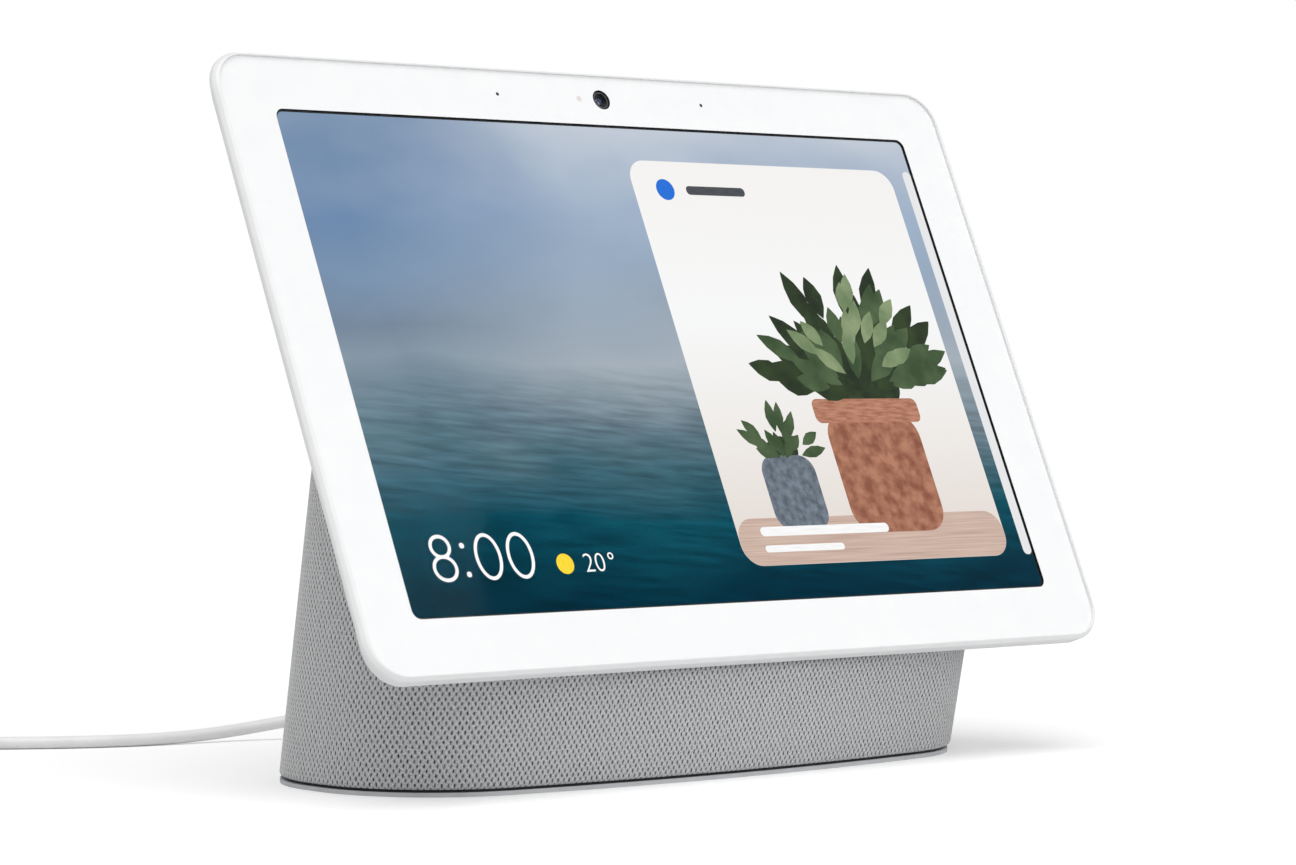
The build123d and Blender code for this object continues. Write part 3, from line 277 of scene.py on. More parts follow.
# %% [markdown]
# ## The lead
# The lead is 1.5 m of round 3.4 mm cord with a soft white jacket. It leaves the strain relief level, sinks
# to the table in a slow curve and runs away to the left, where the spare length is wound and tied. It is
# one smooth spline: the same points that the model's cord follows, then the turns of the coil, wound by a
# loop. Eleven turns lie in three layers of four, three and four. The cord enters the lowest layer from
# outside, and at the end rises over the coil on its way to the adapter.
# %% Route of the lead
CORD_R = 1.7 * MM
ROUTE_OUT = [(0, 82.4, 11), (-0.4, 89, 10.8), (-8.5, 102, 8.8), (-25.5, 116, 5.2), (-42, 122.3, 2.6),
             (-60.5, 124, 1.75), (-80, 129.5, 1.7), (-100, 141.5, 1.7)]
ROUTE_IN = [(-155.6, 160.2, 12.4), (-167.6, 160, 13.5), (-177.6, 160, 14.0)]
LAYERS = [(1.5, 0.5, -0.5, -1.5), (-1, 0, 1), (1.5, 0.5, -0.5, -1.5)]
POINTS_PER_TURN = 16
LAYER_RISE = 1.88             # each layer lies this much over the one below, in cord radii
TOP_RISE = 2.1                # and the last turn over the top layer
COIL_HALF_W = 7.0 * MM        # half the width of the wound bundle
MOVE_START = 0.62             # the cord starts to move to its next lane this far round a turn
coil_low, coil_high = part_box("cord_coil")
coil_centre = (coil_low + coil_high) / 2
coil_mid_r = (coil_high.x - coil_low.x) / 2 - COIL_HALF_W
lanes = []
for level, layer in enumerate(LAYERS):
    for offset in layer:
        lanes.append((coil_mid_r + offset * 2 * CORD_R, coil_low.z + CORD_R * (1 + LAYER_RISE * level)))
lanes.append((coil_mid_r + CORD_R, lanes[-1][1] + TOP_RISE * CORD_R))


def coil_point(angle, turn):
    """A point of the coil: it keeps to a lane, and moves to the next over the last third of each turn."""
    lane = min(int(turn), len(lanes) - 2)
    move = min(max((turn - lane - MOVE_START) / (1 - MOVE_START), 0.0), 1.0)
    move = move * move * (3 - 2 * move)
    radius = lanes[lane][0] * (1 - move) + lanes[lane + 1][0] * move
    height = lanes[lane][1] * (1 - move) + lanes[lane + 1][1] * move
    radius /= 0.75 + 0.25 * math.cos(2 * math.pi / POINTS_PER_TURN)
    return (coil_centre.x + radius * math.cos(angle), coil_centre.y + radius * math.sin(angle), height)


COIL_START = math.radians(64)
COIL_TURNS = 11 + 26 / 360
coil_points = []
for step in range(int(COIL_TURNS * POINTS_PER_TURN) + 1):
    turn = step / POINTS_PER_TURN
    coil_points.append(coil_point(COIL_START + 2 * math.pi * turn, turn))
lead_points = [tuple(c * MM for c in p) for p in ROUTE_OUT] + coil_points
lead_points += [tuple(c * MM for c in p) for p in ROUTE_IN]
print("lead points", len(lead_points))

# %% The lead itself
lead_curve = bpy.data.curves.new("lead_cord", "CURVE")
lead_curve.dimensions = "3D"
spline = lead_curve.splines.new("NURBS")
spline.points.add(len(lead_points) - 1)
for point, place in zip(spline.points, lead_points):
    point.co = (*place, 1.0)
spline.order_u = 3
spline.use_endpoint_u = True
spline.resolution_u = 6
lead_curve.bevel_depth = CORD_R
lead_curve.bevel_resolution = 4
lead_curve.use_fill_caps = True
lead_curve.materials.append(finishes["lead_rubber"])
lead = bpy.data.objects.new("lead_cord", lead_curve)
bpy.context.scene.collection.objects.link(lead)
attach(lead, "power_lead")
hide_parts("power_cord", "cord_coil", "power_cord_end")

# %% [markdown]
# ## Table and light
# A white table in a white room. The room itself is a soft even light. A bright ceiling, off to the left,
# lights the table the same all over, since it is as good as endless, and throws the soft shadow to the
# right. A large lamp in front, a little to the right, lifts the face and leaves the left edges grey. The
# table shows near white but throws back less light than it shows, so that edges which face down still turn
# grey, as over a real table with its lamps flagged off.
# %% Table
TABLE_REACH = 9.0             # m, far enough for its edge to be lost in the white room
bm = bmesh.new()
bmesh.ops.create_circle(bm, cap_ends=True, segments=96, radius=TABLE_REACH)
table_mesh = bpy.data.meshes.new("table")
bm.to_mesh(table_mesh)
bm.free()
table = bpy.data.objects.new("table", table_mesh)
table_paint, tree = new_material("matt_white_table_lacquer")
place = add(tree, "ShaderNodeTexCoord").outputs["Object"]
mottle = add(tree, "ShaderNodeTexNoise", {"Vector": place, "Scale": 3.0, "Detail": 2.0})
shown = add(tree, "ShaderNodeBsdfPrincipled", {
    "Base Color": ramp(tree, mottle.outputs["Fac"], [(0.3, "#EBEBEC"), (0.7, "#EFEFEF")]), "Roughness": 0.7,
    "Specular IOR Level": 0.0, "Emission Color": colour("#FFFFFF"), "Emission Strength": 0.27})
thrown = add(tree, "ShaderNodeBsdfDiffuse", {"Color": colour("#E8E8E9")})
seen = add(tree, "ShaderNodeLightPath").outputs["Is Camera Ray"]
table_mix = add(tree, "ShaderNodeMixShader", {0: seen, 1: thrown.outputs["BSDF"], 2: shown.outputs["BSDF"]})
add(tree, "ShaderNodeOutputMaterial", {"Surface": table_mix.outputs["Shader"]})
table_mesh.materials.append(table_paint)
bpy.context.scene.collection.objects.link(table)
print("table", 2 * TABLE_REACH, "m across")

# %% Room and lamps
ROOM_LIGHT = 0.45             # what the room gives, beside the full white that it shows
FACE_LAMP_PLACE, FACE_LAMP_SIZE, FACE_LAMP_POWER = (0.5, -1.65, 0.85), 1.2, 8.8
CEILING_STRENGTH, CEILING_SPREAD = 1.5, 50
CEILING_AIM = Vector((0.28, 0.30, -1.0))
world = bpy.data.worlds.new("white_room")
world.use_nodes = True
tree = world.node_tree
tree.nodes.clear()
seen = add(tree, "ShaderNodeLightPath").outputs["Is Camera Ray"]
strength = add(tree, "ShaderNodeMapRange", {"Value": seen, "To Min": ROOM_LIGHT, "To Max": 1.0})
room = add(tree, "ShaderNodeBackground", {"Color": colour("#FFFFFF"), "Strength": strength.outputs["Result"]})
add(tree, "ShaderNodeOutputWorld", {"Surface": room.outputs["Background"]})
bpy.context.scene.world = world
bpy.context.scene.view_settings.view_transform = "Standard"


def lamp(name, place, target, size, power):
    data = bpy.data.lights.new(name, "AREA")
    data.shape = "SQUARE"
    data.size = size
    data.energy = power
    light = bpy.data.objects.new(name, data)
    light.location = place
    light.rotation_euler = (Vector(target) - Vector(place)).to_track_quat("-Z", "Y").to_euler()
    bpy.context.scene.collection.objects.link(light)


lamp("face_lamp", FACE_LAMP_PLACE, (0, 0, 0.1), FACE_LAMP_SIZE, FACE_LAMP_POWER)
ceiling_data = bpy.data.lights.new("ceiling", "SUN")
ceiling_data.energy = CEILING_STRENGTH
ceiling_data.angle = math.radians(CEILING_SPREAD)
ceiling = bpy.data.objects.new("ceiling", ceiling_data)
ceiling.rotation_euler = CEILING_AIM.to_track_quat("-Z", "Y").to_euler()
bpy.context.scene.collection.objects.link(ceiling)
print("lights", len(bpy.data.lights))

# %% [markdown]
# ## The knitted sleeve
# The base wears a sleeve of polyester knit, pulled over a shell that leans forward. Its outline is eight
# arcs: three meet in each quarter. Spinning one vertex about each arc's centre draws a quarter exactly,
# two mirrors make the whole, and pulling the outline up to the head gives the wall. The head's back plane
# then trims it. Each face gets its place on the cloth as a UV in millimetres, because a knit follows the
# surface: around by the length along the arcs, and up by the height.
# %% Outline of the base
BASE_HALF_W, BASE_HALF_D = 102.1, 44.5
FRONT_R, CORNER_R, SIDE_R = 470.0, 37.0, 167.0
LEAN, GROWTH = 0.2, 0.0108
CLOTH_T, CLOTH_LOW, CLOTH_ROUND = 1.2, 1.8, 1.1
CLOTH_TOP = 190.0
HEAD_T, CLOTH_GAP = 5.0, 0.3
front_centre = Vector((0, FRONT_R - BASE_HALF_D))
side_centre = Vector((BASE_HALF_W - SIDE_R, 0))
to_front, to_side = FRONT_R - CORNER_R, SIDE_R - CORNER_R
apart = (side_centre - front_centre).length
along = (to_front ** 2 - to_side ** 2 + apart ** 2) / (2 * apart)
across = math.sqrt(to_front ** 2 - along ** 2)
direction = (side_centre - front_centre).normalized()
corner_centre = front_centre + direction * along + Vector((-direction.y, direction.x)) * across
front_angle = math.atan2(corner_centre.x - front_centre.x, front_centre.y - corner_centre.y)
side_angle = math.atan2(-(corner_centre.y - side_centre.y), corner_centre.x - side_centre.x)
corner_angle = math.pi / 2 - front_angle - side_angle
ARCS = [(front_centre, FRONT_R, front_angle, 24), (corner_centre, CORNER_R, corner_angle, 20),
        (side_centre, SIDE_R, side_angle, 10)]
print("arc angles", [round(math.degrees(a[2]), 1) for a in ARCS])


def base_outline_mesh(height):
    """The outline's edges at a height: one quarter spun about the arcs' centres, then mirrored."""
    grow = GROWTH * height
    bm = bmesh.new()
    tip = bm.verts.new((0, -(BASE_HALF_D + grow) * MM, 0))
    for centre, radius, angle, steps in ARCS:
        spun = bmesh.ops.spin(bm, geom=[tip], cent=(centre.x * MM, centre.y * MM, 0), axis=(0, 0, 1),
                              angle=angle, steps=steps, use_merge=False, use_duplicate=False)
        tip = [g for g in spun["geom_last"] if isinstance(g, bmesh.types.BMVert)][0]
    for axis in ("X", "Y"):
        bmesh.ops.mirror(bm, geom=bm.verts[:] + bm.edges[:], axis=axis, merge_dist=0.01 * MM)
    bmesh.ops.remove_doubles(bm, verts=bm.verts, dist=0.01 * MM)
    bmesh.ops.translate(bm, vec=(0, -LEAN * height * MM, height * MM), verts=bm.verts)
    return bm


def pull_ring(bm, ring, height, new_height, inset=0.0, new_inset=0.0):
    """Pulls a ring of the outline to a new height and inset. The ring leans and grows as the base does."""
    pulled = bmesh.ops.extrude_edge_only(bm, edges=ring)["geom"]
    verts = [g for g in pulled if isinstance(g, bmesh.types.BMVert)]
    half_w, half_d = (half + GROWTH * height - inset for half in (BASE_HALF_W, BASE_HALF_D))
    wider = GROWTH * (new_height - height) + inset - new_inset
    bmesh.ops.translate(bm, vec=(0, LEAN * height * MM, 0), verts=verts)
    bmesh.ops.scale(bm, vec=(1 + wider / half_w, 1 + wider / half_d, 1), verts=verts)
    bmesh.ops.translate(bm, vec=(0, -LEAN * new_height * MM, (new_height - height) * MM), verts=verts)
    return [g for g in pulled if isinstance(g, bmesh.types.BMEdge)]


# %% The sleeve's wall, its rounded hem and its tuck under the shell
WALL_LEVELS, HEM_STEPS, CLOTH_TUCK = 24, 5, 7.9
hem_top = CLOTH_LOW + CLOTH_ROUND
bm = base_outline_mesh(hem_top)
first_ring = bm.edges[:]
ring = first_ring
for level in range(WALL_LEVELS):
    start = hem_top + (CLOTH_TOP - hem_top) * level / WALL_LEVELS
    end = hem_top + (CLOTH_TOP - hem_top) * (level + 1) / WALL_LEVELS
    ring = pull_ring(bm, ring, start, end)
ring, height, inset = first_ring, hem_top, 0.0
for step in range(1, HEM_STEPS + 1):
    turn = math.pi / 2 * step / HEM_STEPS
    new_height = hem_top - CLOTH_ROUND * math.sin(turn)
    new_inset = CLOTH_ROUND * (1 - math.cos(turn))
    ring = pull_ring(bm, ring, height, new_height, inset, new_inset)
    height, inset = new_height, new_inset
pull_ring(bm, ring, height, height, inset, CLOTH_TUCK)
trim_place = face_centre - face_out * (HEAD_T + CLOTH_GAP) * MM
bmesh.ops.bisect_plane(bm, geom=bm.verts[:] + bm.edges[:] + bm.faces[:], plane_co=trim_place,
                       plane_no=face_out, clear_outer=True, dist=0.001 * MM)
print("sleeve faces", len(bm.faces))


# %% Where each point lies on the cloth
QUARTER = FRONT_R * front_angle + CORNER_R * corner_angle + SIDE_R * side_angle


def around(place, left):
    """The length along the outline from the middle of the front, in mm, negative on the left."""
    x, y = abs(place.x) / MM, place.y / MM + LEAN * place.z / MM
    point = Vector((x, -abs(y)))
    reach, turned_by = 0.0, 0.0
    for centre, radius, angle, steps in ARCS:
        away = point - centre
        bearing = math.atan2(away.x, -away.y)
        reach += radius * (min(max(bearing, turned_by), turned_by + angle) - turned_by)
        turned_by += angle
    if y > 0:
        reach = 2 * QUARTER - reach
    return -reach if left else reach


cloth_map = bm.loops.layers.uv.new("cloth_mm")
for face in bm.faces:
    left = face.calc_center_median().x < 0
    for loop in face.loops:
        loop[cloth_map].uv = (around(loop.vert.co, left), loop.vert.co.z / MM / math.cos(math.atan(LEAN)))
print("cloth is", round(4 * QUARTER), "mm around")

# %% [markdown]
# ## Knit
# The cloth is a fine mesh knit: pale grey yarn runs in ribs that lean to one side and the other, and
# between them stand small upright holes, in rows that are set off by half a hole like bricks. The holes
# are 1.64 mm apart and the rows 1.21 mm. Each hole is drawn in its own cell and painted near black as the
# shade inside the gap, a little lighter or darker at random, and the yarn swells between them as height
# for the bump. The strands that lean across a rib are finer than this in real cloth: three from one hole
# to the next is as fine as shows. A soft sheen stands for the loose fibres.
# %% Knit cloth
HOLE_SPACING, ROW_SPACING = 1.64, 1.21
HOLE_HALF_W, HOLE_HALF_H = 0.135, 0.47     # in cells
SWAY = 0.55                                # the rows wander by this, in mm
STRANDS = 3                                # strands of yarn from one hole to the next
STRAND_LEAN, STRAND_SHARE = 0.8, 0.15      # how far they lean, in cells, and how much they show
YARN_RELIEF = 0.45                         # in mm


def knitted():
    material, tree = new_material("pale_grey_polyester_knit")
    cloth = add(tree, "ShaderNodeUVMap", uv_map="cloth_mm").outputs["UV"]
    wander = add(tree, "ShaderNodeTexNoise", {"Vector": cloth, "Scale": 0.55, "Detail": 2.0})
    pushed = add(tree, "ShaderNodeVectorMath", {0: wander.outputs["Color"], 1: (0.5, 0.5, 0.5)},
                 operation="SUBTRACT")
    moved = add(tree, "ShaderNodeVectorMath", {0: pushed.outputs["Vector"], 1: (SWAY, SWAY, 0.0), 2: cloth},
                operation="MULTIPLY_ADD")
    per_mm = (1 / HOLE_SPACING, 1 / ROW_SPACING, 1.0)
    cells = add(tree, "ShaderNodeVectorMath", {0: moved.outputs["Vector"], 1: per_mm}, operation="MULTIPLY")
    split = add(tree, "ShaderNodeSeparateXYZ", {0: cells.outputs["Vector"]})
    row = add(tree, "ShaderNodeMath", {0: split.outputs["Y"]}, operation="FLOOR")
    odd = add(tree, "ShaderNodeMath", {0: row.outputs["Value"], 1: 2.0}, operation="FLOORED_MODULO")
    shifted = add(tree, "ShaderNodeMath", {0: odd.outputs["Value"], 1: 0.5, 2: split.outputs["X"]},
                  operation="MULTIPLY_ADD")
    column = add(tree, "ShaderNodeMath", {0: shifted.outputs["Value"]}, operation="FLOOR")
    in_x = add(tree, "ShaderNodeMath", {0: shifted.outputs["Value"]}, operation="FRACT")
    in_y = add(tree, "ShaderNodeMath", {0: split.outputs["Y"]}, operation="FRACT")
    cell = add(tree, "ShaderNodeCombineXYZ", {"X": in_x.outputs["Value"], "Y": in_y.outputs["Value"]})
    off = add(tree, "ShaderNodeVectorMath", {0: cell.outputs["Vector"], 1: (0.5, 0.5, 0.0)},
              operation="SUBTRACT")
    per_hole = (1 / HOLE_HALF_W, 1 / HOLE_HALF_H, 0.0)
    sized = add(tree, "ShaderNodeVectorMath", {0: off.outputs["Vector"], 1: per_hole}, operation="MULTIPLY")
    away = add(tree, "ShaderNodeVectorMath", {0: sized.outputs["Vector"]}, operation="LENGTH")
    # painted shade: the mask of each hole, where the knit is painted near black for the shade inside the gap
    hole_shade_mask = add(tree, "ShaderNodeMapRange", {"Value": away.outputs["Value"], "From Min": 1.35,
                                            "From Max": 0.45}, interpolation_type="SMOOTHSTEP")
    number = add(tree, "ShaderNodeCombineXYZ", {"X": column.outputs["Value"], "Y": row.outputs["Value"]})
    chance = add(tree, "ShaderNodeTexWhiteNoise", {"Vector": number.outputs["Vector"]}, noise_dimensions="2D")
    # the painted shade in each hole is made a little lighter or darker at random
    depth = add(tree, "ShaderNodeMapRange", {"Value": chance.outputs["Value"], "To Min": 0.75, "To Max": 1.0})
    dark = add(tree, "ShaderNodeMath", {0: hole_shade_mask.outputs["Result"], 1: depth.outputs["Result"]},
               operation="MULTIPLY")
    lean = add(tree, "ShaderNodeMath", {0: split.outputs["Y"], 1: 0.5}, operation="PINGPONG")
    across = add(tree, "ShaderNodeMath", {0: lean.outputs["Value"], 1: STRAND_LEAN,
                                          2: shifted.outputs["Value"]}, operation="MULTIPLY_ADD")
    turns = add(tree, "ShaderNodeMath", {0: across.outputs["Value"], 1: 2 * math.pi * STRANDS},
                operation="MULTIPLY")
    strand = add(tree, "ShaderNodeMath", {0: turns.outputs["Value"]}, operation="SINE")
    fibres = add(tree, "ShaderNodeTexNoise", {"Vector": cloth, "Scale": 2.6, "Detail": 3.0})
    yarn = add(tree, "ShaderNodeMath", {0: strand.outputs["Value"], 1: STRAND_SHARE,
                                        2: fibres.outputs["Fac"]}, operation="MULTIPLY_ADD")
    shade = ramp(tree, yarn.outputs["Value"], [(0.25, "#939496"), (0.72, "#E8E9EA")])
    # mixes the painted hole shade, near black, into the yarn colour
    blend = add(tree, "ShaderNodeMix", {"Factor": dark.outputs["Value"], 6: shade, 7: colour("#131416")},
                data_type="RGBA")
    swell = add(tree, "ShaderNodeMath", {0: yarn.outputs["Value"], 1: 0.5, 2: away.outputs["Value"]},
                operation="MULTIPLY_ADD")
    height = add(tree, "ShaderNodeMapRange", {"Value": swell.outputs["Value"], "From Min": 0.5,
                                              "From Max": 2.6}, interpolation_type="SMOOTHSTEP")
    bump = add(tree, "ShaderNodeBump", {"Height": height.outputs["Result"], "Strength": 0.9,
                                        "Distance": YARN_RELIEF * MM})
    shader = add(tree, "ShaderNodeBsdfPrincipled", {
        "Base Color": blend.outputs[2], "Roughness": 0.85, "Normal": bump.outputs["Normal"],
        "Sheen Weight": 1.0, "Sheen Roughness": 0.35, "Specular IOR Level": 0.25})
    add(tree, "ShaderNodeOutputMaterial", {"Surface": shader.outputs["BSDF"]})
    return material


finishes["knit"] = knitted()
sleeve = finish_piece(bm, "knitted_sleeve", "display", finishes["knit"], smooth_angle=60.0)
thick = sleeve.modifiers.new("cloth_thickness", "SOLIDIFY")
thick.thickness = CLOTH_T * MM
thick.offset = -1.0
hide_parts("fabric_sleeve")
print("sleeve wears", finishes["knit"].name)

# %% [markdown]
# ## The picture
# The panel sits 0.5 mm behind the ink, because the ink is printed on the glass and clear resin lies
# between. So from one side the white border hides a little of the picture, and on the other a black line
# of the panel shows. The picture gives its own light: a calm sea under clouds, painted with two ramps up
# the screen, one for its left and one for its middle, mixed across and stirred with noise for the clouds
# and the ripples.
# %% Panel
SCREEN_W, SCREEN_H, SCREEN_R = 216.7, 135.4, 2.5
PANEL_FRONT, PANEL_BACK = 1.4, 1.9
PANEL_EXTRA_W, PANEL_EXTRA_H = 8, 4
PICTURE_MARGIN = 0.55         # the black line round the picture
LIFT = 0.03                   # each layer of the picture lies this far over the one below
bm = plate(SCREEN_W + PANEL_EXTRA_W, SCREEN_H + PANEL_EXTRA_H, 0, PANEL_FRONT, PANEL_BACK)
panel = finish_piece(bm, "liquid_crystal_panel", "display", finishes["picture"], FACE)
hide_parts("lcd_panel")
picture_w, picture_h = SCREEN_W - 2 * PICTURE_MARGIN, SCREEN_H - 2 * PICTURE_MARGIN
print("picture", round(picture_w, 1), "by", round(picture_h, 1), "mm")


def give_screen_map(piece, width, height, x=0.0, q=0.0):
    """A UV map that runs from 0 to 1 across and up a flat piece of the screen."""
    to_face = FACE.inverted()
    layer = piece.data.uv_layers.new(name="screen")
    for loop in piece.data.loops:
        flat = to_face @ piece.data.vertices[loop.vertex_index].co
        layer.data[loop.index].uv = ((flat.x / MM - x) / width + 0.5, (flat.y / MM - q) / height + 0.5)


def lit(name, paint):
    """A part of the picture that gives its own light. paint adds the nodes of its colour."""
    material, tree = new_material(name)
    screen = add(tree, "ShaderNodeUVMap", uv_map="screen").outputs["UV"]
    shader = add(tree, "ShaderNodeBsdfPrincipled", {
        "Base Color": colour("#000000"), "Roughness": 0.6, "Specular IOR Level": 0.0,
        "Emission Color": paint(tree, screen), "Emission Strength": 1.0})
    add(tree, "ShaderNodeOutputMaterial", {"Surface": shader.outputs["BSDF"]})
    return material


# %% Sea and clouds
SEA_LEFT = [(0.02, "#022D3D"), (0.18, "#054657"), (0.27, "#366070"), (0.37, "#5E7986"), (0.5, "#8496A5"),
            (0.57, "#73869A"), (0.69, "#7791AF"), (0.8, "#6886AC"), (1.0, "#7B93B0")]
SEA_RIGHT = [(0.02, "#012D3E"), (0.18, "#0A4C5C"), (0.27, "#3D626F"), (0.37, "#70838E"), (0.5, "#A6B1BB"),
             (0.57, "#9EABB8"), (0.69, "#9AACC1"), (0.82, "#A2B4CA"), (1.0, "#C2CBD7")]


def sea_and_clouds(tree, screen):
    across = add(tree, "ShaderNodeSeparateXYZ", {0: screen})
    cloud_place = add(tree, "ShaderNodeMapping", {"Vector": screen, "Scale": (2.2, 2.6, 1.0),
                                                  "Rotation": (0, 0, math.radians(-24))})
    cloud = add(tree, "ShaderNodeTexNoise", {"Vector": cloud_place.outputs["Vector"], "Scale": 1.6,
                                             "Detail": 4.0, "Roughness": 0.45})
    ripple_turn = add(tree, "ShaderNodeMapping", {"Vector": screen, "Rotation": (0, 0, math.radians(9))})
    ripple_place = add(tree, "ShaderNodeMapping", {"Vector": ripple_turn.outputs["Vector"],
                                                   "Scale": (12.0, 80.0, 1.0)})
    ripple = add(tree, "ShaderNodeTexNoise", {"Vector": ripple_place.outputs["Vector"], "Scale": 1.0,
                                              "Detail": 3.0})
    billow = add(tree, "ShaderNodeMapRange", {"Value": cloud.outputs["Fac"], "From Min": 0.25,
                                              "From Max": 0.75, "To Min": -0.045, "To Max": 0.045})
    up = add(tree, "ShaderNodeMath", {0: across.outputs["Y"], 1: billow.outputs["Result"]}, operation="ADD")
    side = add(tree, "ShaderNodeMapRange", {"Value": across.outputs["X"], "From Min": 0.06, "From Max": 0.40})
    drift = add(tree, "ShaderNodeMath", {0: cloud.outputs["Fac"], 1: 0.9, 2: side.outputs["Result"]},
                operation="MULTIPLY_ADD")
    share = add(tree, "ShaderNodeMath", {0: drift.outputs["Value"], 1: 0.45}, operation="SUBTRACT",
                use_clamp=True)
    left = ramp(tree, up.outputs["Value"], SEA_LEFT)
    right = ramp(tree, up.outputs["Value"], SEA_RIGHT)
    sky = add(tree, "ShaderNodeMix", {"Factor": share.outputs["Value"], 6: left, 7: right}, data_type="RGBA")
    on_sea = add(tree, "ShaderNodeMapRange", {"Value": across.outputs["Y"], "From Min": 0.5,
                                              "From Max": 0.36})
    ripples = add(tree, "ShaderNodeMapRange", {"Value": ripple.outputs["Fac"], "From Min": 0.3,
                                               "From Max": 0.7, "To Min": 0.72, "To Max": 1.30})
    strength = add(tree, "ShaderNodeMix", {"Factor": on_sea.outputs["Result"], 2: 1.0,
                                           3: ripples.outputs["Result"]})
    strong = add(tree, "ShaderNodeVectorMath", {0: sky.outputs[2], "Scale": strength.outputs[0]},
                 operation="SCALE")
    return strong.outputs["Vector"]


picture_depth = PANEL_FRONT - LIFT
picture = finish_piece(plate(picture_w, picture_h, SCREEN_R - PICTURE_MARGIN, picture_depth, PANEL_FRONT),
                       "screen_picture", "display", lit("lit_sea_picture", sea_and_clouds), FACE)
give_screen_map(picture, picture_w, picture_h)
print("made", picture.name)

# %% [markdown]
# ## Cards and clock
# Over the sea lies a card with rounded corners, and the edge of a second one. Real ones hold somebody's
# message, so this one holds a generic still life: a potted plant on a pale table, with plain bars where
# words would be. The clock's digits are ovals: a wide circle and a narrower one inside it, bridged.
# %% Flat lit shapes
def plain(hex_a, hex_b, scale=6.0):
    """Paint of two close shades, clouded together."""
    def paint(tree, screen):
        cloud = add(tree, "ShaderNodeTexNoise", {"Vector": screen, "Scale": scale, "Detail": 3.0})
        return ramp(tree, cloud.outputs["Fac"], [(0.35, hex_a), (0.65, hex_b)])
    return paint


def lit_plate(name, material, width, height, radius, x, q, layer):
    depth = picture_depth - LIFT * layer
    bm = plate(width, height, radius, depth - LIFT, depth, x, q)
    give_screen_map(finish_piece(bm, name, "display", material, FACE), width, height, x, q)


CARD_W, CARD_H, CARD_X, CARD_R = 97.0, 115.8, 51.0, 6.0
NEXT_LEFT, NEXT_R = 104.7, 1.4


def card_paint(tree, screen):
    up = add(tree, "ShaderNodeSeparateXYZ", {0: screen}).outputs["Y"]
    return ramp(tree, up, [(0.0, "#E4DAD2"), (0.35, "#F1EEEB"), (0.6, "#F8F9F9"), (1.0, "#F6F4F2")])


lit_plate("screen_card", lit("lit_white_card", card_paint), CARD_W, CARD_H, CARD_R, CARD_X, 0, 0)
next_right = picture_w / 2
lit_plate("screen_next_card", lit("lit_next_card", plain("#E6E7E9", "#EDEDEE")), next_right - NEXT_LEFT,
          CARD_H, NEXT_R, (NEXT_LEFT + next_right) / 2, 0, 0)
print("card", CARD_W, "by", CARD_H, "mm")

# %% Still life on the card: table, pot and leaves
TABLE_H, TABLE_INSET, TABLE_R = 13.0, 0.1, 5.8
POT_X, POT_SIZE, POT_R, POT_UP = 62, 34, 7, 12
RIM_SIZE, RIM_R, RIM_UP = (39, 7), 2, 30
SMALL_POT_X, SMALL_POT_SIZE, SMALL_POT_R, SMALL_POT_UP = 27, (19, 21), 5, 7
card_low, card_left = -CARD_H / 2, CARD_X - CARD_W / 2


def wood_paint(tree, screen):
    stretched = add(tree, "ShaderNodeMapping", {"Vector": screen, "Scale": (2.0, 14.0, 1.0)})
    grain = add(tree, "ShaderNodeTexNoise", {"Vector": stretched.outputs["Vector"], "Scale": 2.0,
                                             "Detail": 4.0})
    return ramp(tree, grain.outputs["Fac"], [(0.3, "#BFA497"), (0.7, "#DAC2B3")])


table_line = card_low + TABLE_H
lit_plate("card_table", lit("lit_pale_wood", wood_paint), CARD_W - 2 * TABLE_INSET, TABLE_H, TABLE_R, CARD_X,
          card_low + TABLE_H / 2 + TABLE_INSET, 1)


def lit_disc(name, material, width, height, x, q, layer):
    bm = bmesh.new()
    bmesh.ops.create_circle(bm, cap_ends=True, segments=48, radius=0.5)
    bmesh.ops.scale(bm, vec=(width * MM, height * MM, 1), verts=bm.verts)
    raise_faces(bm, LIFT * MM)
    depth = picture_depth - LIFT * layer
    bmesh.ops.translate(bm, vec=(x * MM, q * MM, -depth * MM), verts=bm.verts)
    give_screen_map(finish_piece(bm, name, "display", material, FACE), width, height, x, q)


lit_plate("card_pot", lit("lit_terracotta", plain("#8E5A48", "#B98269", 9.0)), POT_SIZE, POT_SIZE, POT_R,
          POT_X, table_line + POT_UP, 2)
lit_plate("card_pot_rim", lit("lit_terracotta_rim", plain("#A56D58", "#C48E76", 9.0)), *RIM_SIZE, RIM_R,
          POT_X, table_line + RIM_UP, 3)
lit_plate("card_small_pot", lit("lit_slate_glaze", plain("#5D6670", "#7B8793", 9.0)), *SMALL_POT_SIZE,
          SMALL_POT_R, SMALL_POT_X, table_line + SMALL_POT_UP, 2)
print("table line at", round(table_line, 1))

# %% Leaves
LEAF_GREENS = [("#2A3428", "#39482F"), ("#3E5238", "#55694A"), ("#6F8460", "#8FA07A")]
leaf_paints = [lit(f"lit_leaf_{k}", plain(*pair, 5.0)) for k, pair in enumerate(LEAF_GREENS)]
chance = random.Random(7)
LEAF_MAP = 40                 # one repeat of the leaves' shading, in mm


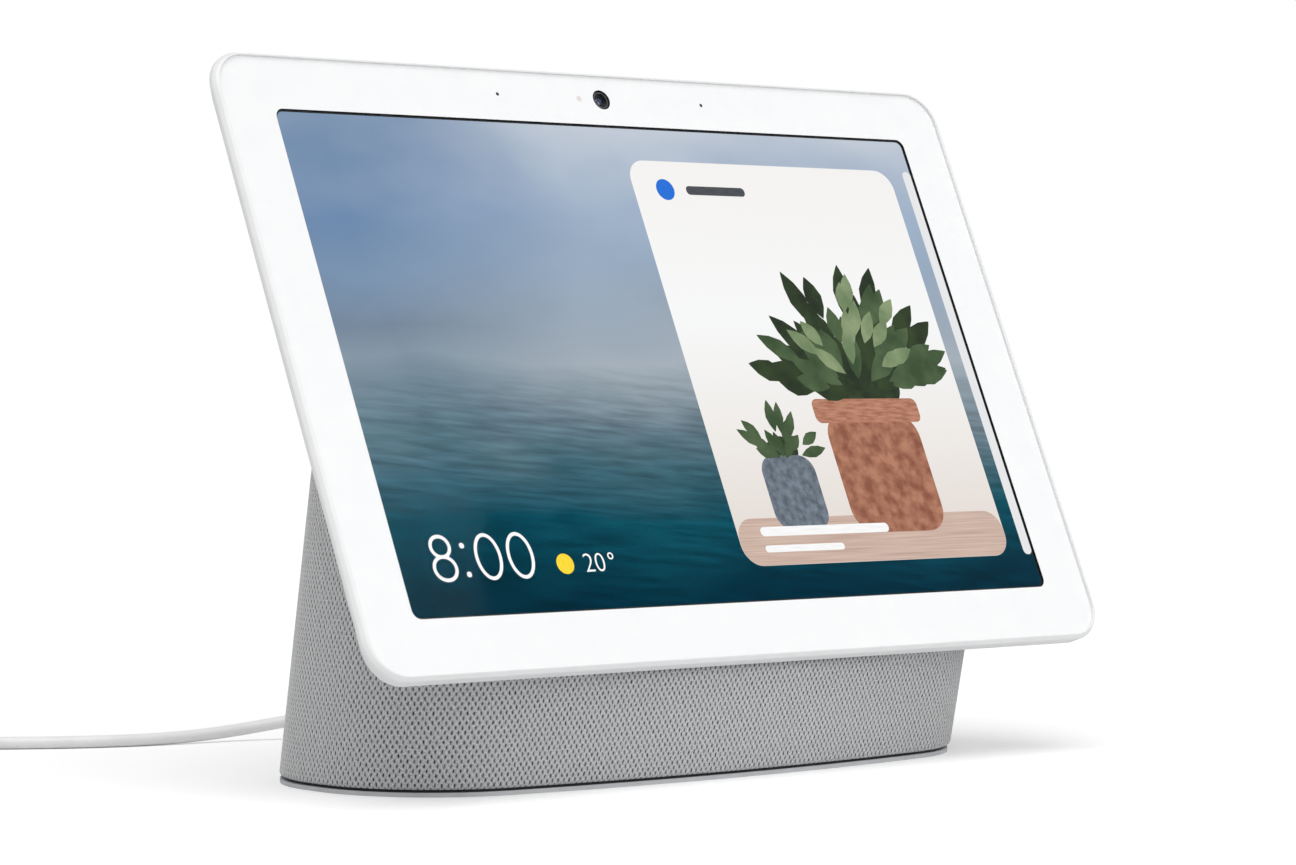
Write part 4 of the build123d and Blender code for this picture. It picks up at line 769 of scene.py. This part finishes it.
def leaves(name, count, x, q, spread, size, material, layer):
    """Pointed leaves that fan out from x, q: each is a circle with its two ends pinched."""
    bm = bmesh.new()
    for number in range(count):
        turn = math.radians(chance.uniform(-80, 80))
        reach = spread * chance.uniform(0.35, 1.0)
        made = bmesh.ops.create_circle(bm, cap_ends=True, segments=12, radius=0.5)["verts"]
        for vert in made:
            vert.co.x *= 1 - abs(2 * vert.co.y) ** 2 * 0.75
        bmesh.ops.scale(bm, vec=(size * 0.42 * MM, size * chance.uniform(0.8, 1.2) * MM, 1), verts=made)
        bmesh.ops.rotate(bm, cent=(0, 0, 0), matrix=Matrix.Rotation(-turn, 3, "Z"), verts=made)
        where = ((x + reach * math.sin(turn)) * MM, (q + reach * math.cos(turn)) * MM, number * 0.0004 * MM)
        bmesh.ops.translate(bm, vec=where, verts=made)
    raise_faces(bm, 0.01 * MM)
    bmesh.ops.translate(bm, vec=(0, 0, -(picture_depth - LIFT * layer) * MM), verts=bm.verts)
    give_screen_map(finish_piece(bm, name, "display", material, FACE), LEAF_MAP, LEAF_MAP, x, q)
    print(name, count)


# The shade in the heart of each plant closes the gaps between the lowest leaves.
dark, mid, pale = leaf_paints
pot_top = table_line + RIM_UP
lit_disc("card_plant_heart", dark, 30, 17, POT_X, pot_top + 7, 2.5)
lit_disc("card_small_plant_heart", dark, 11, 8, SMALL_POT_X, table_line + 19, 1.5)
leaves("card_leaves_dark", 46, POT_X, pot_top + 2, 36, 15, dark, 4)
leaves("card_leaves_mid", 34, POT_X, pot_top + 4, 32, 13, mid, 5)
leaves("card_leaves_pale", 14, POT_X, pot_top + 8, 30, 11, pale, 6)
leaves("card_small_leaves", 18, SMALL_POT_X, table_line + 16, 13, 8, mid, 4)

# %% Plain bars in the place of words
bar_paint = lit("lit_white_bar", plain("#F4F4F4", "#FFFFFF"))
grey_bar = lit("lit_grey_bar", plain("#4A4D52", "#54575C"))
blue_dot = lit("lit_blue_dot", plain("#2A6FD6", "#2F76DE"))
CARD_PAD = 8.0
DOT_W, HEADING_Q = 6.2, 49.5
BARS = [(46, 2.6, -48.6), (28, 1.9, -53.4)]     # width, thickness, height on the face
bar_left = card_left + CARD_PAD
for number, (width, thickness, q) in enumerate(BARS):
    lit_plate(f"card_bar_{number}", bar_paint, width, thickness, thickness / 2 - 0.05, bar_left + width / 2,
              q, 7)
lit_disc("card_dot", blue_dot, DOT_W, DOT_W, bar_left + DOT_W / 2, HEADING_Q, 1)
lit_plate("card_name_bar", grey_bar, 21, 2.6, 1.2, bar_left + 21, HEADING_Q, 1)
print("bars", len(BARS) + 1)

# %% Clock
white_light = lit("lit_white_digit", plain("#FBFBFB", "#FFFFFF"))
STROKE = 0.95


def oval(name, x, q, width, height, stroke=STROKE):
    """A digit's ring: two ovals, one inside the other, bridged and pulled up."""
    bm = bmesh.new()
    outer = bmesh.ops.create_circle(bm, cap_ends=False, segments=48, radius=0.5)["verts"]
    bmesh.ops.scale(bm, vec=(width * MM, height * MM, 1), verts=outer)
    inner = bmesh.ops.create_circle(bm, cap_ends=False, segments=48, radius=0.5)["verts"]
    bmesh.ops.scale(bm, vec=((width - 2 * stroke) * MM, (height - 2 * stroke) * MM, 1), verts=inner)
    bmesh.ops.bridge_loops(bm, edges=bm.edges[:])
    raise_faces(bm, LIFT * MM)
    bmesh.ops.translate(bm, vec=(x * MM, q * MM, -picture_depth * MM), verts=bm.verts)
    give_screen_map(finish_piece(bm, name, "display", white_light, FACE), width, height, x, q)


CLOCK_Q, DIGIT_H, DIGIT_W = -52.3, 12.3, 8.2
EIGHT_X, COLON_X, ZERO_XS = -94.3, -87.6, (-80.3, -70.3)
COLON_W, SUN_W, SUN_PLACE = 1.5, 5.4, (-57.0, -55.0)
oval("clock_eight_top", EIGHT_X, CLOCK_Q + DIGIT_H * 0.245, 6.6, DIGIT_H * 0.51)
oval("clock_eight_foot", EIGHT_X, CLOCK_Q - DIGIT_H * 0.215, 7.6, DIGIT_H * 0.57)
for number, q in enumerate((CLOCK_Q + 3.1, CLOCK_Q - 4.4)):
    lit_disc(f"clock_dot_{number}", white_light, COLON_W, COLON_W, COLON_X, q, 0)
for side, x in zip(("left", "right"), ZERO_XS):
    oval(f"clock_zero_{side}", x, CLOCK_Q, DIGIT_W, DIGIT_H)
lit_disc("weather_sun", lit("lit_yellow_sun", plain("#FFD92E", "#FFE14A")), SUN_W, SUN_W, *SUN_PLACE, 0)
print("clock digits", DIGIT_H, "mm high")

# %% Temperature: two digits and a degree ring
digits = bpy.data.curves.new("temperature", "FONT")
digits.body = "20"
digits.size = 7.2 * MM
digits.offset = -0.09 * MM    # thins the strokes
digits.extrude = LIFT / 2 * MM
text = bpy.data.objects.new("temperature_text", digits)
bpy.context.scene.collection.objects.link(text)
bpy.context.view_layer.update()
bm = bmesh.new()
bm.from_mesh(bpy.data.meshes.new_from_object(text))
bpy.data.objects.remove(text)
bmesh.ops.translate(bm, vec=(-51.2 * MM, -57.4 * MM, -(picture_depth - LIFT / 2) * MM), verts=bm.verts)
temperature = finish_piece(bm, "temperature_digits", "display", white_light, FACE)
give_screen_map(temperature, 10, 6, -47, -55)
oval("temperature_degree", -41.9, -53.4, 1.9, 1.9, 0.4)
print("screen pieces done")

# %% [markdown]
# ## Glass and ink
# The cover glass is cut with a diamond wheel and its edge is polished to a small round, so it is a plate
# with a bevelled rim. Two holes let sound in to the microphones. The white ink behind it is a thinner plate
# with an opening for the picture and four round ones. Holes in a flat face are quickest to cut with a
# Boolean. Both pieces are made afresh, since each broad face mirrors the room, and has to be one clean flat.
# %% Cover glass
glass_w = (glass_high.x - glass_low.x) / MM
glass_h = round(((glass_high.z - glass_low.z) / MM - GLASS_T / MM * math.sin(TILT)) / math.cos(TILT), 2)
GLASS_R, GLASS_EDGE, MIC_X, MIC_HOLE_R, SENSOR_Q = 9.0, 0.12, 35.3, 0.5, 75.2
DRILL_L = 8                   # long enough to pass through any plate of the head


def add_drill(cutter, x, q, radius):
    """Adds a round drill, square to the face, to a cutter."""
    bmesh.ops.create_cone(cutter, cap_ends=True, segments=32, radius1=radius * MM, radius2=radius * MM,
                          depth=DRILL_L * MM, matrix=Matrix.Translation((x * MM, q * MM, 0)))


def carve(bm, cutter):
    """Cuts one mesh out of another. Both are used up, and a new mesh comes back."""
    pair = []
    for name, part in (("blank", bm), ("cutter", cutter)):
        bmesh.ops.recalc_face_normals(part, faces=part.faces)
        mesh = bpy.data.meshes.new(name)
        part.to_mesh(mesh)
        part.free()
        pair.append(bpy.data.objects.new(name, mesh))
        bpy.context.scene.collection.objects.link(pair[-1])
    cut = pair[0].modifiers.new("cut", "BOOLEAN")
    cut.operation = "DIFFERENCE"
    cut.object = pair[1]
    bpy.context.view_layer.update()
    cut_blank = pair[0].evaluated_get(bpy.context.evaluated_depsgraph_get())
    carved = bmesh.new()
    carved.from_mesh(bpy.data.meshes.new_from_object(cut_blank))
    for item in pair:
        bpy.data.objects.remove(item)
    return carved


bm = plate(glass_w, glass_h, GLASS_R, 0.0, GLASS_T / MM)
front_rim = [e for e in bm.edges if all(v.co.z > -0.01 * MM for v in e.verts)]
bmesh.ops.bevel(bm, geom=front_rim, offset=GLASS_EDGE * MM, offset_type="OFFSET", affect="EDGES",
                segments=3, profile=0.5, material=-1)
drills = bmesh.new()
for mic_x in (-MIC_X, MIC_X):
    add_drill(drills, mic_x, SENSOR_Q, MIC_HOLE_R)
glass = finish_piece(carve(bm, drills), "polished_cover_glass", "display", finishes["front_glass"], FACE)
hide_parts("cover_glass")
print("glass", round(glass_w, 1), "by", glass_h)

# %% White ink, with its openings
INK_FRONT, INK_BACK, WINDOW_R, LIGHT_X, LIGHT_R = 0.81, 0.9, 2.85, -7.8, 0.8
INK_EXTRA = 0.22              # it reaches under the slit round the glass, so that no dark shows there
cutter = plate(SCREEN_W, SCREEN_H, SCREEN_R, -1, 3)
for x, radius in ((-MIC_X, MIC_HOLE_R), (MIC_X, MIC_HOLE_R), (0, WINDOW_R), (LIGHT_X, LIGHT_R)):
    add_drill(cutter, x, SENSOR_Q, radius)
bm = carve(plate(glass_w + INK_EXTRA, glass_h + INK_EXTRA, GLASS_R, INK_FRONT, INK_BACK), cutter)
ink = finish_piece(bm, "white_ink_border", "display", finishes["white_border"], FACE)
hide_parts("border_mask")
print("ink faces", len(ink.data.polygons))

# %% [markdown]
# ## Camera and sensors
# Behind a round window in the ink sits a tiny camera. Its barrel is a lathe part with stepped baffles that
# swallow stray light, so its half section is spun about the axis. The front element is a dome with a glossy
# coat, and its blue and magenta glint is painted into its colour, shifting with the angle to the view.
# Beside it, a sensor looks out through a dot of thinner ink.
# %% Lens barrel and front element
BARREL = [(2.5, 1.32), (2.5, 1.2), (2.05, 1.2), (2.05, 1.5), (1.75, 1.5), (1.75, 1.75), (1.45, 1.75),
          (1.45, 2.0), (1.15, 2.0), (1.15, 2.35), (2.5, 2.35)]


def turned_piece(name, section, material, x=0.0):
    """A lathe part on the sensor line, from its half section as (radius, depth) points in mm."""
    bm = bmesh.new()
    verts = [bm.verts.new((r * MM, 0, -d * MM)) for r, d in section]
    for a, b in zip(verts, verts[1:]):
        bm.edges.new((a, b))
    if section[0][0] > 0.0 and section[-1][0] > 0.0:
        bm.edges.new((verts[-1], verts[0]))
    bmesh.ops.spin(bm, geom=bm.verts[:] + bm.edges[:], cent=(0, 0, 0), axis=(0, 0, 1), angle=2 * math.pi,
                   steps=48, use_merge=True)
    bmesh.ops.remove_doubles(bm, verts=bm.verts, dist=0.0005 * MM)
    bmesh.ops.translate(bm, vec=(x * MM, SENSOR_Q * MM, 0), verts=bm.verts)
    return finish_piece(bm, name, "display", material, FACE)


barrel = turned_piece("camera_barrel", BARREL, finishes["lens"])
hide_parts("camera_lens")
glint_painted_lens, tree = new_material("lens_with_painted_blue_glint")
# painted glint: the base colour runs from navy through blue to magenta as the surface turns away from the
# view
glint_facing = add(tree, "ShaderNodeLayerWeight", {"Blend": 0.35}).outputs["Facing"]
shader = add(tree, "ShaderNodeBsdfPrincipled", {
    "Base Color": ramp(tree, glint_facing, [(0.0, "#0B1330"), (0.5, "#1B2A5E"), (1.0, "#3A2A4E")]), "Roughness": 0.05,
    "IOR": 1.6, "Coat Weight": 0.8})
add(tree, "ShaderNodeOutputMaterial", {"Surface": shader.outputs["BSDF"]})
DOME_R, DOME_RISE, DOME_DEPTH, DOME_FOOT, DOME_STEPS = 1.15, 0.35, 2.05, 0.2, 8
dome = [(0.0, DOME_DEPTH + DOME_FOOT), (DOME_R, DOME_DEPTH + DOME_FOOT)]
for step in range(DOME_STEPS):
    rise = math.pi / 2 * step / DOME_STEPS
    dome.append((DOME_R * math.cos(rise), DOME_DEPTH - DOME_RISE * math.sin(rise)))
dome.append((0.0, DOME_DEPTH - DOME_RISE))
front_element = turned_piece("camera_front_element", dome, glint_painted_lens)
print("lens dome", 2 * DOME_R, "mm across")

# %% Printed ring round the lens and the light sensor's dot
ring_ink = moulded("grey_ink_ring", "#6B6D70", "#595B5E", 0.4, 0.3, 0.002)
ink_ring = turned_piece("camera_ring", [(2.3, 1.19), (2.3, 1.15), (2.12, 1.15), (2.12, 1.19)], ring_ink)
thin_ink = moulded("thin_rose_grey_ink", "#E6DEDB", "#DDD4D1", 0.5, 0.3, 0.002)
light_dot = turned_piece("light_sensor_window", [(0.0, 0.82), (0.78, 0.82), (0.78, 0.88), (0.0, 0.88)],
                         thin_ink, x=LIGHT_X)
print("sensor dots done")
